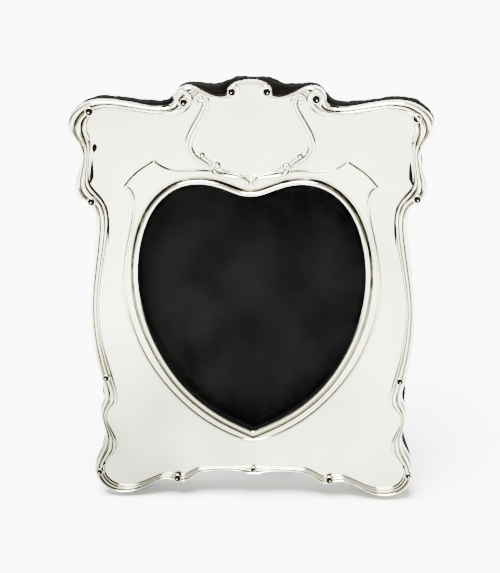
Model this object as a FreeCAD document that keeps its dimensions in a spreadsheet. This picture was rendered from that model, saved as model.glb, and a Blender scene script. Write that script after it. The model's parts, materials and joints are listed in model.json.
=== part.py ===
# Stamped silver photo frame with a heart opening, on a velvet covered easel back.
import FreeCAD, Part
import math
import os
import Sketcher
from FreeCAD import Placement, Rotation, Vector

# Every piece is drawn upright in the plane of the face: x across, y up the face from its lowest
# point, z out of the field of the silver towards the viewer. One placement then leans it back.

SIZES = {
    # the silver facing
    "face_half_width": 90.5,
    "face_height": 216.0,
    "facing_gauge": 0.8,
    "edge_rise": 0.7,
    "outer_reed_rise": 2.5,
    "middle_reed_rise": 1.9,
    "reed_valley_rise": 0.8,
    "plateau_rise": 0.8,
    "surround_bead_width": 1.6,
    "surround_bead_rise": 1.4,
    "rim_bead_width": 2.5,
    "rim_bead_rise": 2.0,
    "rim_lip_rise": 0.7,
    "rim_groove_width": 1.5,
    "rim_groove_depth": 0.5,
    # the heart opening
    "heart_side_margin": 33.0,
    "heart_top_margin": 51.5,
    "heart_foot": 34.5,
    "lining_gauge": 0.5,
    "lining_inset": 0.8,
    # the former and the velvet covered board
    "former_depth": 2.4,
    "velvet_gauge": 0.5,
    "board_lip": 3.7,
    # the rebate and what it holds
    "rebate_side_margin": 5.5,
    "rebate_foot_margin": 5.5,
    "rebate_top_margin": 40.0,
    "rebate_arch_rise": 36.0,
    "rebate_clearance": 0.4,
    "glass_gauge": 1.8,
    "card_gauge": 0.8,
    "panel_slack": 0.1,
    "panel_gauge": 3.2,
    # the turn buttons
    "button_half_length": 9.0,
    "button_half_width": 3.6,
    "button_neck": 2.2,
    "button_gauge": 1.2,
    "button_edge": 0.3,
    "button_setback": 6.0,
    "button_foot_margin": 47.0,
    "button_spring_margin": 16.0,
    "button_gap": 0.3,
    "washer_radius": 3.0,
    "washer_gauge": 0.5,
    "button_screw_radius": 1.1,
    "button_bore_clearance": 0.05,
    "button_screw_bite": 5.0,
    "button_head_radius": 2.4,
    "button_head_rise": 1.1,
    # the strut hinge
    "hinge_drop": 28.0,
    "hinge_half_width": 15.0,
    "leaf_gauge": 0.8,
    "leaf_reach": 13.0,
    "knuckle_radius": 1.6,
    "knuckle_count": 3,
    "knuckle_gap": 0.3,
    "hinge_pin_radius": 0.75,
    "hinge_bore_clearance": 0.04,
    "pin_overhang": 0.5,
    "fold_gap": 0.9,
    "axis_standoff": 2.2,
    "leaf_screw_radius": 0.8,
    "leaf_head_radius": 1.6,
    "leaf_head_gauge": 0.6,
    "leaf_screw_bite": 2.0,
    "leaf_screw_spread": 10.0,
    # the strut
    "strut_gauge": 3.0,
    "strut_top_half_width": 17.0,
    "strut_foot_half_width": 27.0,
    "strut_top_setback": 2.4,
    "strut_corner": 3.0,
    # the silk stay
    "stay_foot_margin": 23.0,
    "stay_half_width": 4.0,
    "stay_gauge": 0.3,
    "stay_tab": 8.0,
    "stay_bow": 2.0,
    "tack_radius": 1.5,
    "tack_rise": 0.6,
    "tack_shank_radius": 0.4,
    "tack_bite": 2.0,
    # how it stands
    "lean_angle": 14.0,
    "open_angle": 26.0,
    "foot_trim": 0.4,
    "cut_overrun": 1.0,
    "turned_sides": 12,
}

PLACES = {
    "seat_depth": "facing_gauge + former_depth",
    "glass_front": "facing_gauge + former_depth + velvet_gauge + board_lip",
    "card_front": "facing_gauge + former_depth + velvet_gauge + board_lip + glass_gauge",
    "panel_front": "facing_gauge + former_depth + velvet_gauge + board_lip + glass_gauge"
                   " + card_gauge + panel_slack",
    "heart_half_width": "face_half_width - heart_side_margin",
    "heart_height": "face_height - heart_top_margin - heart_foot",
    "rebate_half_width": "face_half_width - heart_side_margin + rebate_side_margin",
    "rebate_foot": "heart_foot - rebate_foot_margin",
    "rebate_crown": "face_height - rebate_top_margin",
    "rebate_spring": "face_height - rebate_top_margin - rebate_arch_rise",
    "button_low": "heart_foot - rebate_foot_margin + button_foot_margin",
    "button_high": "face_height - rebate_top_margin - rebate_arch_rise - button_spring_margin",
    "hinge_height": "face_height - rebate_top_margin - hinge_drop",
    "stay_height": "heart_foot - rebate_foot_margin + stay_foot_margin",
}

# Right half of the silver's edge from the crest down to the middle of the foot. Each row gives a
# point of the edge and the point of the field that it is banded to, as shares of the half width
# and of the height.
BORDER_SHARES = (
    (0.000, 1.000, 0.000, 0.989), (0.075, 0.997, 0.057, 0.986), (0.124, 0.981, 0.063, 0.972),
    (0.130, 0.964, 0.099, 0.958), (0.166, 0.963, 0.159, 0.956), (0.316, 0.987, 0.307, 0.974),
    (0.365, 0.987, 0.312, 0.957), (0.402, 0.976, 0.316, 0.941), (0.415, 0.949, 0.371, 0.920),
    (0.440, 0.941, 0.415, 0.916), (0.502, 0.938, 0.491, 0.914), (0.773, 0.955, 0.758, 0.931),
    (0.857, 0.954, 0.835, 0.928), (0.928, 0.942, 0.875, 0.913), (0.984, 0.921, 0.893, 0.896),
    (1.005, 0.897, 0.895, 0.878), (0.991, 0.875, 0.877, 0.863), (0.930, 0.840, 0.883, 0.828),
    (0.926, 0.816, 0.886, 0.810), (0.967, 0.761, 0.891, 0.765), (0.972, 0.737, 0.871, 0.747),
    (0.944, 0.719, 0.833, 0.732), (0.891, 0.713, 0.802, 0.713), (0.862, 0.694, 0.787, 0.690),
    (0.856, 0.662, 0.789, 0.658), (0.902, 0.486, 0.855, 0.484), (0.905, 0.424, 0.855, 0.424),
    (0.893, 0.363, 0.835, 0.365), (0.832, 0.248, 0.759, 0.241), (0.851, 0.229, 0.759, 0.223),
    (0.869, 0.209, 0.798, 0.213), (0.857, 0.185, 0.831, 0.196), (0.838, 0.163, 0.824, 0.169),
    (0.835, 0.138, 0.782, 0.144), (0.864, 0.112, 0.765, 0.116), (0.897, 0.087, 0.791, 0.095),
    (0.908, 0.061, 0.840, 0.080), (0.893, 0.034, 0.853, 0.053), (0.849, 0.011, 0.822, 0.031),
    (0.778, -0.001, 0.762, 0.019), (0.701, 0.000, 0.692, 0.019), (0.548, 0.033, 0.539, 0.047),
    (0.495, 0.037, 0.486, 0.054), (0.413, 0.027, 0.411, 0.046), (0.369, 0.034, 0.367, 0.053),
    (0.325, 0.051, 0.320, 0.067), (0.254, 0.059, 0.254, 0.071), (0.075, 0.059, 0.075, 0.072),
    (0.000, 0.050, 0.000, 0.071),
)

# Right half of the board's calmer outline, shares of the same half width and height.
BOARD_SHARES = (
    (0.000, 0.994), (0.110, 0.990), (0.160, 0.977), (0.215, 0.974), (0.343, 0.982), (0.390, 0.972),
    (0.442, 0.939), (0.514, 0.935), (0.790, 0.951), (0.873, 0.948), (0.946, 0.929), (0.997, 0.899),
    (0.975, 0.870), (0.931, 0.848), (0.924, 0.817), (0.961, 0.745), (0.928, 0.723), (0.875, 0.707),
    (0.854, 0.674), (0.897, 0.470), (0.893, 0.396), (0.849, 0.262), (0.840, 0.137), (0.880, 0.102),
    (0.895, 0.065), (0.864, 0.025), (0.785, 0.004), (0.696, 0.007), (0.514, 0.039), (0.436, 0.035),
    (0.376, 0.039), (0.309, 0.057), (0.210, 0.062), (0.000, 0.057),
)

# Right half of the heart, from the dip between its lobes to its tip, shares of its own size.
HEART_SHARES = (
    (0.000, 0.946), (0.080, 0.946), (0.181, 0.965), (0.320, 0.988), (0.477, 0.996), (0.640, 0.980),
    (0.790, 0.930), (0.897, 0.860), (0.967, 0.766), (1.000, 0.662), (0.991, 0.554), (0.936, 0.446),
    (0.845, 0.343), (0.706, 0.234), (0.532, 0.143), (0.313, 0.068), (0.139, 0.028), (0.000, 0.000),
)

# Right half of the raised ground about the heart, in three runs between its corners, as shares of
# the heart's size: the dip at the top, the shoulder, and the long side.
SURROUND_SHARES = (
    ((0.000, 1.031), (0.174, 1.031), (0.383, 1.054), (0.522, 1.049), (0.661, 1.048), (0.765, 1.063),
     (0.835, 1.089)),
    ((0.835, 1.089), (0.915, 1.066), (1.019, 1.035), (1.111, 0.982)),
    ((1.111, 0.982), (1.047, 0.960), (1.023, 0.908), (1.050, 0.838), (1.099, 0.746), (1.134, 0.638),
     (1.137, 0.538), (1.085, 0.427), (0.991, 0.315), (0.852, 0.212), (0.668, 0.115), (0.452, 0.031),
     (0.209, -0.028), (0.070, -0.049), (0.000, -0.049)),
)

# Right half of the wood's plain straight-sided outline, inside both the silver and the velvet.
WOOD_SHARES = (
    (0.000, 0.978), (0.075, 0.974), (0.112, 0.948), (0.200, 0.948), (0.290, 0.963), (0.350, 0.960),
    (0.385, 0.936), (0.440, 0.920), (0.540, 0.917), (0.780, 0.932), (0.880, 0.922), (0.950, 0.898),
    (0.925, 0.871), (0.893, 0.838), (0.893, 0.800), (0.918, 0.762), (0.905, 0.744), (0.848, 0.722),
    (0.822, 0.690), (0.820, 0.660), (0.865, 0.480), (0.863, 0.400), (0.803, 0.266), (0.800, 0.235),
    (0.815, 0.205), (0.800, 0.150), (0.812, 0.132), (0.860, 0.085), (0.858, 0.060), (0.822, 0.032),
    (0.770, 0.021), (0.690, 0.022), (0.500, 0.058), (0.400, 0.056), (0.310, 0.078), (0.000, 0.081),
)

# The section of the reeded band from the edge in: a share of the band's width and the size that
# gives the height there. Nothing is raised where the band meets the field.
REED_SHARES = (
    (0.00, "edge_rise"), (0.17, "outer_reed_rise"), (0.38, "reed_valley_rise"),
    (0.58, "middle_reed_rise"), (1.00, None),
)
# Where the crown of the rim's bead runs, as a share of the bead's width.
BEAD_CROWN_SHARE = 0.45
# Where the leaf's screws sit, as a share of the leaf's reach.
LEAF_HOLE_SHARE = 0.66
# Where a turn button's outline steps, as shares of its half length.
BUTTON_WAIST_SHARE = 0.25
BUTTON_TIP_SHARE = 0.72
# How wide the flat crown of a turn button's screw is, as a share of its head.
HEAD_CROWN_SHARE = 0.6
# How many rows the wall of the velvet cover is drawn in.
COVER_ROWS = 2
# Play on each side of the silk stay, as a share of its thickness.
STAY_PLAY_SHARE = 0.25

doc = FreeCAD.newDocument("photo_frame")
sheet = doc.addObject("Spreadsheet::Sheet", "Sizes")
places = doc.addObject("Spreadsheet::Sheet", "Places")
for row, (alias, number) in enumerate(SIZES.items(), start=1):
    sheet.set(f"A{row}", alias)
    sheet.set(f"B{row}", str(number))
    sheet.setAlias(f"B{row}", alias)
doc.recompute()
for row, (alias, words) in enumerate(PLACES.items(), start=1):
    formula = " ".join(word if word in "+-" else f"Sizes.{word}" for word in words.split())
    places.set(f"A{row}", alias)
    places.set(f"B{row}", "=" + formula)
    places.setAlias(f"B{row}", alias)
doc.recompute()

nodes = []


def size(name):
    """Return a driving size from the sheet."""
    return float(getattr(sheet, name))


def place(name):
    """Return a depth, height or width that is worked out in the second sheet."""
    return float(getattr(places, name))


BACK_DEPTH = place("panel_front") + size("panel_gauge") + size("velvet_gauge")
AXIS_DEPTH = BACK_DEPTH + size("axis_standoff")


# Curves

def scaled(shares, half_width, height, foot=0.0):
    """Return points in the face's plane from shares of a half width and a height."""
    return [Vector(across * half_width, foot + up * height, 0) for across, up in shares]


def offset(points, distance):
    """Move a half outline's points outwards, keeping its ends on the middle line."""
    first = Vector(-points[1].x, points[1].y, 0)
    last = Vector(-points[-2].x, points[-2].y, 0)
    padded = [first] + points + [last]
    moved = []
    for before, point, after in zip(padded, points, padded[2:]):
        entering = (point - before).normalize()
        leaving = (after - point).normalize()
        bisector = entering + leaving
        bisector.normalize()
        normal = Vector(-bisector.y, bisector.x, 0)
        lean = Vector(-entering.y, entering.x, 0).dot(normal)
        moved.append(point + normal * (distance / lean))
    moved[0].x = 0
    moved[-1].x = 0
    return moved


def mirrored(points):
    """Return the left half of an outline."""
    return [Vector(-point.x, point.y, point.z) for point in points]


def raised(points, height):
    """Return points at a height above the field."""
    return [Vector(point.x, point.y, height) for point in points]


def knots(count, degree):
    """Return the even knots and their multiplicities of a curve that starts and ends at its poles."""
    values = list(range(count - degree + 1))
    multiplicities = [1] * len(values)
    multiplicities[0] = degree + 1
    multiplicities[-1] = degree + 1
    return values, multiplicities


def spline(points):
    """Return the cubic curve that a row of poles draws."""
    values, multiplicities = knots(len(points), 3)
    curve = Part.BSplineCurve()
    curve.buildFromPolesMultsKnots(points, multiplicities, values, False, 3)
    return curve


def band(rows):
    """Return the surface that is a cubic along its rows of poles and one arc or line across them."""
    along = len(rows[0])
    across = len(rows)
    along_knots, along_counts = knots(along, 3)
    across_knots, across_counts = knots(across, across - 1)
    poles = [[row[index] for row in rows] for index in range(along)]
    surface = Part.BSplineSurface()
    surface.buildFromPolesMultsKnots(
        poles, along_counts, across_counts, along_knots, across_knots, False, False, 3, across - 1)
    return surface.toShape()


def both_bands(rows):
    """Return a band of the right half and its reflection on the left."""
    return [band(rows), band([mirrored(row) for row in rows])]


def closed_wire(runs, height=0.0):
    """Return the closed wire of the right half's runs and their reflections, at a height."""
    edges = []
    for run in runs:
        level = raised(run, height)
        edges.append(spline(level).toShape())
        edges.append(spline(mirrored(level)).toShape())
    return Part.Wire(Part.__sortEdges__(edges))


def plate(outer, inner, height):
    """Return the flat face between two closed outlines."""
    face = Part.Face(closed_wire(outer, height))
    return face.cut(Part.Face(closed_wire(inner, height))).Faces[0]


def wall(runs, front, back):
    """Return the upright faces under an outline, from one height to another."""
    faces = []
    for run in runs:
        faces += both_bands([raised(run, front), raised(run, back)])
    return faces


def solid_of(faces):
    """Sew faces into one solid with its inside in."""
    shell = Part.Shell(faces)
    shell.sewShape()
    solid = Part.Solid(shell)
    if solid.Volume < 0:
        solid.reverse()
    return solid


def prism(runs, front, back, rows=1):
    """Return the solid between two depths behind the field, its wall in one or more rows."""
    faces = [Part.Face(closed_wire(runs, -front)), Part.Face(closed_wire(runs, -back))]
    step = (back - front) / rows
    for row in range(rows):
        faces += wall(runs, -front - row * step, -front - (row + 1) * step)
    return solid_of(faces)


def arch_wire(clearance, depth):
    """Return the rebate's outline, drawn in by a clearance."""
    half = place("rebate_half_width") - clearance
    foot = place("rebate_foot") + clearance
    spring = place("rebate_spring")
    crown = place("rebate_crown") - clearance
    corners = [Vector(-half, spring, -depth), Vector(-half, foot, -depth),
               Vector(half, foot, -depth), Vector(half, spring, -depth)]
    edges = [Part.LineSegment(start, end).toShape() for start, end in zip(corners, corners[1:])]
    edges.append(Part.Arc(corners[-1], Vector(0, crown, -depth), corners[0]).toShape())
    return Part.Wire(edges)


# Outlines of this frame

FACE = (size("face_half_width"), size("face_height"))
EDGE = scaled([row[:2] for row in BORDER_SHARES], *FACE)
FIELD = scaled([row[2:] for row in BORDER_SHARES], *FACE)
BOARD = scaled(BOARD_SHARES, *FACE)
HEART_SIZE = (place("heart_half_width"), place("heart_height"), size("heart_foot"))
HEART = scaled(HEART_SHARES, *HEART_SIZE)
SURROUND = [scaled(run, *HEART_SIZE) for run in SURROUND_SHARES]
WOOD = scaled(WOOD_SHARES, *FACE)


def drawn_in(edge, field, distance):
    """Move each point of the edge a set distance towards the point that it is banded to."""
    return [outer + (inner - outer).normalize() * distance for outer, inner in zip(edge, field)]


def between(edge, field, share, height):
    """Return the row of poles a share of the way across the band, at a height."""
    return [outer + (inner - outer) * share + Vector(0, 0, height)
            for outer, inner in zip(edge, field)]


def split_runs(runs, distance):
    """Offset runs that meet at corners, as one outline."""
    joined = runs[0] + [point for run in runs[1:] for point in run[1:]]
    moved = offset(joined, distance)
    result = []
    start = 0
    for run in runs:
        result.append(moved[start:start + len(run)])
        start += len(run) - 1
    return result


# Building nodes

def body_named(name):
    """Start a body that becomes one node."""
    body = doc.addObject("PartDesign::Body", name)
    nodes.append(body)
    return body


def feature_named(name, shape):
    """Keep a finished shape as one node."""
    piece = doc.addObject("Part::Feature", name)
    piece.Shape = shape
    nodes.append(piece)
    return piece


def origin_plane(body, role):
    """Return one of a body's own origin planes."""
    return [item for item in body.Origin.OriginFeatures if item.Role == role][0]


def sketch_on(body, name, role, lift):
    """Start a sketch on a body's own plane, lifted by an expression."""
    sketch = body.newObject("Sketcher::SketchObject", name)
    sketch.AttachmentSupport = (origin_plane(body, role), [""])
    sketch.MapMode = "FlatFace"
    sketch.setExpression("AttachmentOffset.Base.z", lift)
    return sketch


def hold(sketch, index, corner, across, up):
    """Hold one end of a sketch's edge at two expressions."""
    for kind, words in (("DistanceX", across), ("DistanceY", up)):
        number = float(sketch.evalExpression(words))
        constraint = sketch.addConstraint(Sketcher.Constraint(kind, index, corner, number))
        sketch.setExpression(f"Constraints[{constraint}]", words)


def polygon_sketch(body, name, corners, lift, role="XY_Plane"):
    """Draw a closed outline whose corners are pairs of expressions."""
    sketch = sketch_on(body, name, role, lift)
    points = [Vector(float(sketch.evalExpression(across)), float(sketch.evalExpression(up)), 0)
              for across, up in corners]
    count = len(points)
    for index in range(count):
        sketch.addGeometry(Part.LineSegment(points[index], points[(index + 1) % count]), False)
    for index in range(count):
        sketch.addConstraint(Sketcher.Constraint("Coincident", index, 2, (index + 1) % count, 1))
    for index, (across, up) in enumerate(corners):
        hold(sketch, index, 1, across, up)
    return sketch


def arch_sketch(body, name, clearance, lift):
    """Draw the rebate's outline, drawn in by an expression."""
    half = f"(Places.rebate_half_width - ({clearance}))"
    foot = f"(Places.rebate_foot + ({clearance}))"
    rise = f"(Places.rebate_crown - ({clearance}) - Places.rebate_spring)"
    sketch = sketch_on(body, name, "XY_Plane", lift)
    wide = float(sketch.evalExpression(half))
    low = float(sketch.evalExpression(foot))
    spring = place("rebate_spring")
    crown = spring + float(sketch.evalExpression(rise))
    corners = [Vector(-wide, spring, 0), Vector(-wide, low, 0),
               Vector(wide, low, 0), Vector(wide, spring, 0)]
    for start, end in zip(corners, corners[1:]):
        sketch.addGeometry(Part.LineSegment(start, end), False)
    sketch.addGeometry(Part.Arc(corners[3], Vector(0, crown, 0), corners[0]), False)
    for index in range(2):
        sketch.addConstraint(Sketcher.Constraint("Coincident", index, 2, index + 1, 1))
    sketch.addConstraint(Sketcher.Constraint("Coincident", 2, 2, 3, 1))
    sketch.addConstraint(Sketcher.Constraint("Coincident", 3, 2, 0, 1))
    hold(sketch, 0, 1, f"-{half}", "Places.rebate_spring")
    hold(sketch, 1, 1, f"-{half}", foot)
    hold(sketch, 2, 1, half, foot)
    hold(sketch, 2, 2, half, "Places.rebate_spring")
    radius = f"(({half})^2 + ({rise})^2) / (2 * {rise})"
    number = float(sketch.evalExpression(radius))
    constraint = sketch.addConstraint(Sketcher.Constraint("Radius", 3, number))
    sketch.setExpression(f"Constraints[{constraint}]", radius)
    return sketch


def circle_sketch(body, name, circles, lift, role="XY_Plane"):
    """Draw circles given by expressions for centre across, centre up and radius."""
    sketch = sketch_on(body, name, role, lift)
    for index, (across, up, radius) in enumerate(circles):
        centre = Vector(float(sketch.evalExpression(across)), float(sketch.evalExpression(up)), 0)
        reach = float(sketch.evalExpression(radius))
        sketch.addGeometry(Part.Circle(centre, Vector(0, 0, 1), reach), False)
        hold(sketch, index, 3, across, up)
        constraint = sketch.addConstraint(Sketcher.Constraint("Radius", index, reach))
        sketch.setExpression(f"Constraints[{constraint}]", radius)
    return sketch


def grow(body, kind, name, sketch, length, backwards=False):
    """Add a pad or a pocket whose length is an expression."""
    feature = body.newObject(f"PartDesign::{kind}", name)
    feature.Profile = sketch
    feature.setExpression("Length", length)
    feature.Reversed = backwards
    sketch.Visibility = False
    doc.recompute()
    return feature


def ring_points(centre, radius, right, up):
    """Return the corners of a many-sided ring about a centre, or the centre alone."""
    if not radius:
        return [centre]
    sides = int(size("turned_sides"))
    turns = [2 * math.pi * index / sides for index in range(sides)]
    return [centre + (right * math.cos(turn) + up * math.sin(turn)) * radius for turn in turns]


def slab(points, along):
    """Return the solid that a flat outline sweeps along a straight way."""
    return Part.Face(Part.makePolygon(points + [points[0]])).extrude(along)


def turned(profile, centre):
    """Return a half profile of (radius, depth) turned about the line of sight, with flat sides."""
    rings = [ring_points(centre - Vector(0, 0, depth), radius, Vector(1, 0, 0), Vector(0, 1, 0))
             for radius, depth in profile]
    faces = []
    for near, far in zip(rings, rings[1:] + rings[:1]):
        for index in range(max(len(near), len(far))):
            following = index + 1
            corners = [near[index % len(near)], near[following % len(near)],
                       far[following % len(far)], far[index % len(far)]]
            kept = [point for step, point in enumerate(corners)
                    if not point.isEqual(corners[step - 1], 0)]
            if len(kept) > 2:
                faces.append(Part.Face(Part.makePolygon(kept + [kept[0]])))
    return solid_of(faces)


# The silver facing, a stamped sheet with a reeded border and a turned edge

def strips(lines):
    """Return the faces between each outline and the next: a line is a list of runs of poles."""
    faces = []
    for outer, inner in zip(lines, lines[1:]):
        for outer_run, inner_run in zip(outer, inner):
            faces += both_bands([outer_run, inner_run])
    return faces


def lifted(runs, height):
    """Return a line at a height above the field."""
    return [raised(run, height) for run in runs]


def reeded_border():
    """Return the faces of the reeds between the edge and the field."""
    lines = []
    for share, rise_name in REED_SHARES:
        height = size(rise_name) if rise_name else 0.0
        lines.append([between(EDGE, FIELD, share, height)])
    return strips(lines)


def facing_shape():
    """Return the stamped sheet as one solid: border, field, raised ground, rim and turned edge."""
    gauge = size("facing_gauge")
    seat = place("seat_depth")
    plateau = size("plateau_rise")
    ring = size("surround_bead_width")
    middle_ring = split_runs(SURROUND, -ring / 2)
    inner_ring = split_runs(SURROUND, -ring)
    bead = size("rim_bead_width")
    groove = size("rim_groove_width")
    rim_outer = [offset(HEART, bead + groove)]
    turn = drawn_in(EDGE, FIELD, gauge)
    faces = wall([EDGE], size("edge_rise"), -seat)
    faces += reeded_border()
    faces.append(plate([FIELD], SURROUND, 0.0))
    faces += strips([lifted(SURROUND, 0.0), lifted(middle_ring, size("surround_bead_rise")),
                     lifted(inner_ring, plateau)])
    faces.append(plate(inner_ring, rim_outer, plateau))
    faces += strips([lifted(rim_outer, plateau),
                     lifted([offset(HEART, bead + groove / 2)], plateau - size("rim_groove_depth")),
                     lifted([offset(HEART, bead)], size("rim_lip_rise")),
                     lifted([offset(HEART, bead * BEAD_CROWN_SHARE)], size("rim_bead_rise")),
                     lifted([HEART], size("rim_lip_rise"))])
    faces += wall([HEART], size("rim_lip_rise"), -gauge)
    faces.append(plate([turn], [HEART], -gauge))
    faces += wall([turn], -gauge, -seat)
    faces.append(plate([EDGE], [turn], -seat))
    return solid_of(faces)


facing = facing_shape()
feature_named("silver_facing", facing)

# The wooden former under the silver, and the velvet covered board behind it

WALL = offset(HEART, size("lining_inset") + size("lining_gauge"))
OVERRUN = size("cut_overrun")


def wood_slab(front, back):
    """Return the wood's plain block between two depths."""
    outline = WOOD + mirrored(WOOD[1:-1])[::-1]
    return slab(raised(outline, -front), Vector(0, 0, front - back))


def rebate_cut(front, back):
    """Return the rebate's space between two depths."""
    return Part.Face(arch_wire(0.0, front)).extrude(Vector(0, 0, front - back))


heart_hole = prism([WALL], 0.0, BACK_DEPTH + OVERRUN)
former = wood_slab(size("facing_gauge"), place("seat_depth")).cut(heart_hole)
feature_named("front_former", former)

board_back = BACK_DEPTH - size("velvet_gauge")
core_block = wood_slab(place("seat_depth"), board_back)
board = core_block.cut(heart_hole).cut(rebate_cut(place("glass_front"), BACK_DEPTH))
feature_named("back_board", board)

cover = prism([BOARD], place("seat_depth"), BACK_DEPTH, COVER_ROWS).cut(core_block)
cover = cover.cut(rebate_cut(board_back, BACK_DEPTH + OVERRUN))
feature_named("velvet_cover", cover)

lining_hole = prism([offset(HEART, size("lining_inset"))], 0.0, BACK_DEPTH)
lining = prism([WALL], size("facing_gauge"), place("glass_front")).cut(lining_hole)
feature_named("aperture_lining", lining)

# What the rebate holds

pane = body_named("glass_pane")
pane_sketch = arch_sketch(pane, "pane_outline", "Sizes.rebate_clearance", "-Places.card_front")
grow(pane, "Pad", "pane_pad", pane_sketch, "Sizes.glass_gauge")

card = body_named("backing_card")
card_lift = "-(Places.card_front + Sizes.card_gauge)"
card_sketch = arch_sketch(card, "card_outline", "Sizes.rebate_clearance", card_lift)
grow(card, "Pad", "card_pad", card_sketch, "Sizes.card_gauge")

panel_front = place("panel_front")
panel_back = panel_front + size("panel_gauge")
panel_inset = size("rebate_clearance") + size("velvet_gauge")


def arch_slab(clearance, front, back):
    """Return a slab with the rebate's outline, drawn in by a clearance."""
    return Part.Face(arch_wire(clearance, front)).extrude(Vector(0, 0, front - back))


panel = arch_slab(panel_inset, panel_front, panel_back)
panel_skin = arch_slab(size("rebate_clearance"), panel_front, BACK_DEPTH).cut(panel)
feature_named("easel_panel", panel)
feature_named("easel_panel_velvet", panel_skin)

# The turn buttons that keep the panel in

button_places = {}
for up_name in ("low", "high"):
    for side_name, sign in (("left", -1), ("right", 1)):
        button_places[f"{up_name}_{side_name}"] = (sign, f"button_{up_name}")


def turn_button(name, sign, height_name):
    """Build a waisted brass button about its own screw, lying across the edge of the panel."""
    button = body_named(name)
    end = "Sizes.button_half_length"
    wide = "Sizes.button_half_width"
    neck = "Sizes.button_neck"
    waist = f"{BUTTON_WAIST_SHARE} * {end}"
    tip = f"{BUTTON_TIP_SHARE} * {end}"
    right = [(end, f"-{neck} / 2"), (end, f"{neck} / 2"), (tip, neck), (waist, wide)]
    left = [(f"-{waist}", wide), (f"-{tip}", neck), (f"-{end}", f"{neck} / 2"), (f"-{end}", f"-{neck} / 2")]
    under = [(f"-{tip}", f"-{neck}"), (f"-{waist}", f"-{wide}"), (waist, f"-{wide}"), (tip, f"-{neck}")]
    corners = right + left + under
    outline = polygon_sketch(button, f"{name}_outline", corners, "0")
    grow(button, "Pad", f"{name}_pad", outline, "Sizes.button_gauge")
    bore = "Sizes.button_screw_radius + Sizes.button_bore_clearance"
    bore_sketch = circle_sketch(button, f"{name}_bore", [("0", "0", bore)], "Sizes.button_gauge")
    bored = grow(button, "Pocket", f"{name}_bore_cut", bore_sketch, "2 * Sizes.button_gauge")
    back_edges = [f"Edge{index}" for index, edge in enumerate(bored.Shape.Edges, start=1)
                  if edge.BoundBox.ZMax < bored.Shape.BoundBox.ZMin + size("button_edge") / 2
                  and isinstance(edge.Curve, Part.Line)]
    bevel = button.newObject("PartDesign::Chamfer", f"{name}_bevel")
    bevel.Base = (bored, back_edges)
    bevel.setExpression("Size", "Sizes.button_edge")
    doc.recompute()
    across = sign * (place("rebate_half_width") + size("button_setback"))
    front = BACK_DEPTH + size("washer_gauge") + size("button_gap")
    return button, Vector(across, place(height_name), -front - size("button_gauge"))


local_places = {}
button_centres = []
for key, (sign, height_name) in button_places.items():
    button, where = turn_button(f"turn_button_{key}", sign, height_name)
    local_places[button.Name] = Placement(where, Rotation())
    button_centres.append(Vector(where.x, where.y, 0))

screw_radius = size("button_screw_radius")
washers = []
button_screws = []
for centre in button_centres:
    washer_front = BACK_DEPTH
    washer_back = BACK_DEPTH + size("washer_gauge")
    bore_radius = screw_radius + size("button_bore_clearance")
    washers.append(turned([(bore_radius, washer_front), (size("washer_radius"), washer_front),
                           (size("washer_radius"), washer_back), (bore_radius, washer_back)], centre))
    head_front = washer_back + 2 * size("button_gap") + size("button_gauge")
    tip = BACK_DEPTH - size("button_screw_bite")
    head_back = head_front + size("button_head_rise")
    head = size("button_head_radius")
    button_screws.append(turned([(0, tip), (screw_radius, tip + screw_radius), (screw_radius, head_front),
                                 (head, head_front), (head * HEAD_CROWN_SHARE, head_back),
                                 (0, head_back)], centre))
feature_named("turn_button_washers", Part.Compound(washers))
feature_named("turn_button_screws", Part.Compound(button_screws))

# The strut's hinge: two notched leaves with knuckles in turn, and one pin

hinge_up = place("hinge_height")
knuckle_length = 2 * size("hinge_half_width") / size("knuckle_count")
leaf_holes = [Vector(side * size("leaf_screw_spread"), size("leaf_reach") * LEAF_HOLE_SHARE, 0)
              for side in (-1, 0, 1)]


def leaf_shape(direction, parity, front, web, bore_radius):
    """Return a leaf that reaches up or down from the pin, with every second knuckle on a web."""
    half = size("hinge_half_width")
    gauge = size("leaf_gauge")
    gap = size("knuckle_gap")
    clear = size("knuckle_radius") + gap
    low = clear if direction > 0 else -size("leaf_reach")
    shape = Part.makeBox(2 * half, size("leaf_reach") - clear, gauge,
                         Vector(-half, hinge_up + low, -front - gauge))
    for index in range(int(size("knuckle_count"))):
        if index % 2 != parity:
            continue
        start = -half + index * knuckle_length
        trim = gap / 2
        inner = trim if index > 0 else 0.0
        outer = trim if index < size("knuckle_count") - 1 else 0.0
        length = knuckle_length - inner - outer
        bridge_low = 0.0 if direction > 0 else -clear
        bridge = Part.makeBox(length, clear, web,
                              Vector(start + inner, hinge_up + bridge_low, -front - web))
        barrel_end = Vector(start + inner, hinge_up, -AXIS_DEPTH)
        barrel_ring = ring_points(barrel_end, size("knuckle_radius"), Vector(0, 1, 0), Vector(0, 0, 1))
        barrel = slab(barrel_ring, Vector(length, 0, 0))
        shape = shape.fuse([bridge, barrel])
    shape = shape.cut(Part.makeCylinder(bore_radius, 2 * half + 2 * OVERRUN,
                                        Vector(-half - OVERRUN, hinge_up, -AXIS_DEPTH), Vector(1, 0, 0)))
    return shape.removeSplitter()


def leaf_screw(centre, face, inwards):
    """Return a countersunk screw whose head is flush with one face of a leaf."""
    head = size("leaf_head_radius")
    shank = size("leaf_screw_radius")
    neck = face + inwards * size("leaf_head_gauge")
    tip = face + inwards * (size("leaf_gauge") + size("leaf_screw_bite"))
    return turned([(0, face), (head, face), (shank, neck), (shank, tip - inwards * shank), (0, tip)], centre)


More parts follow.
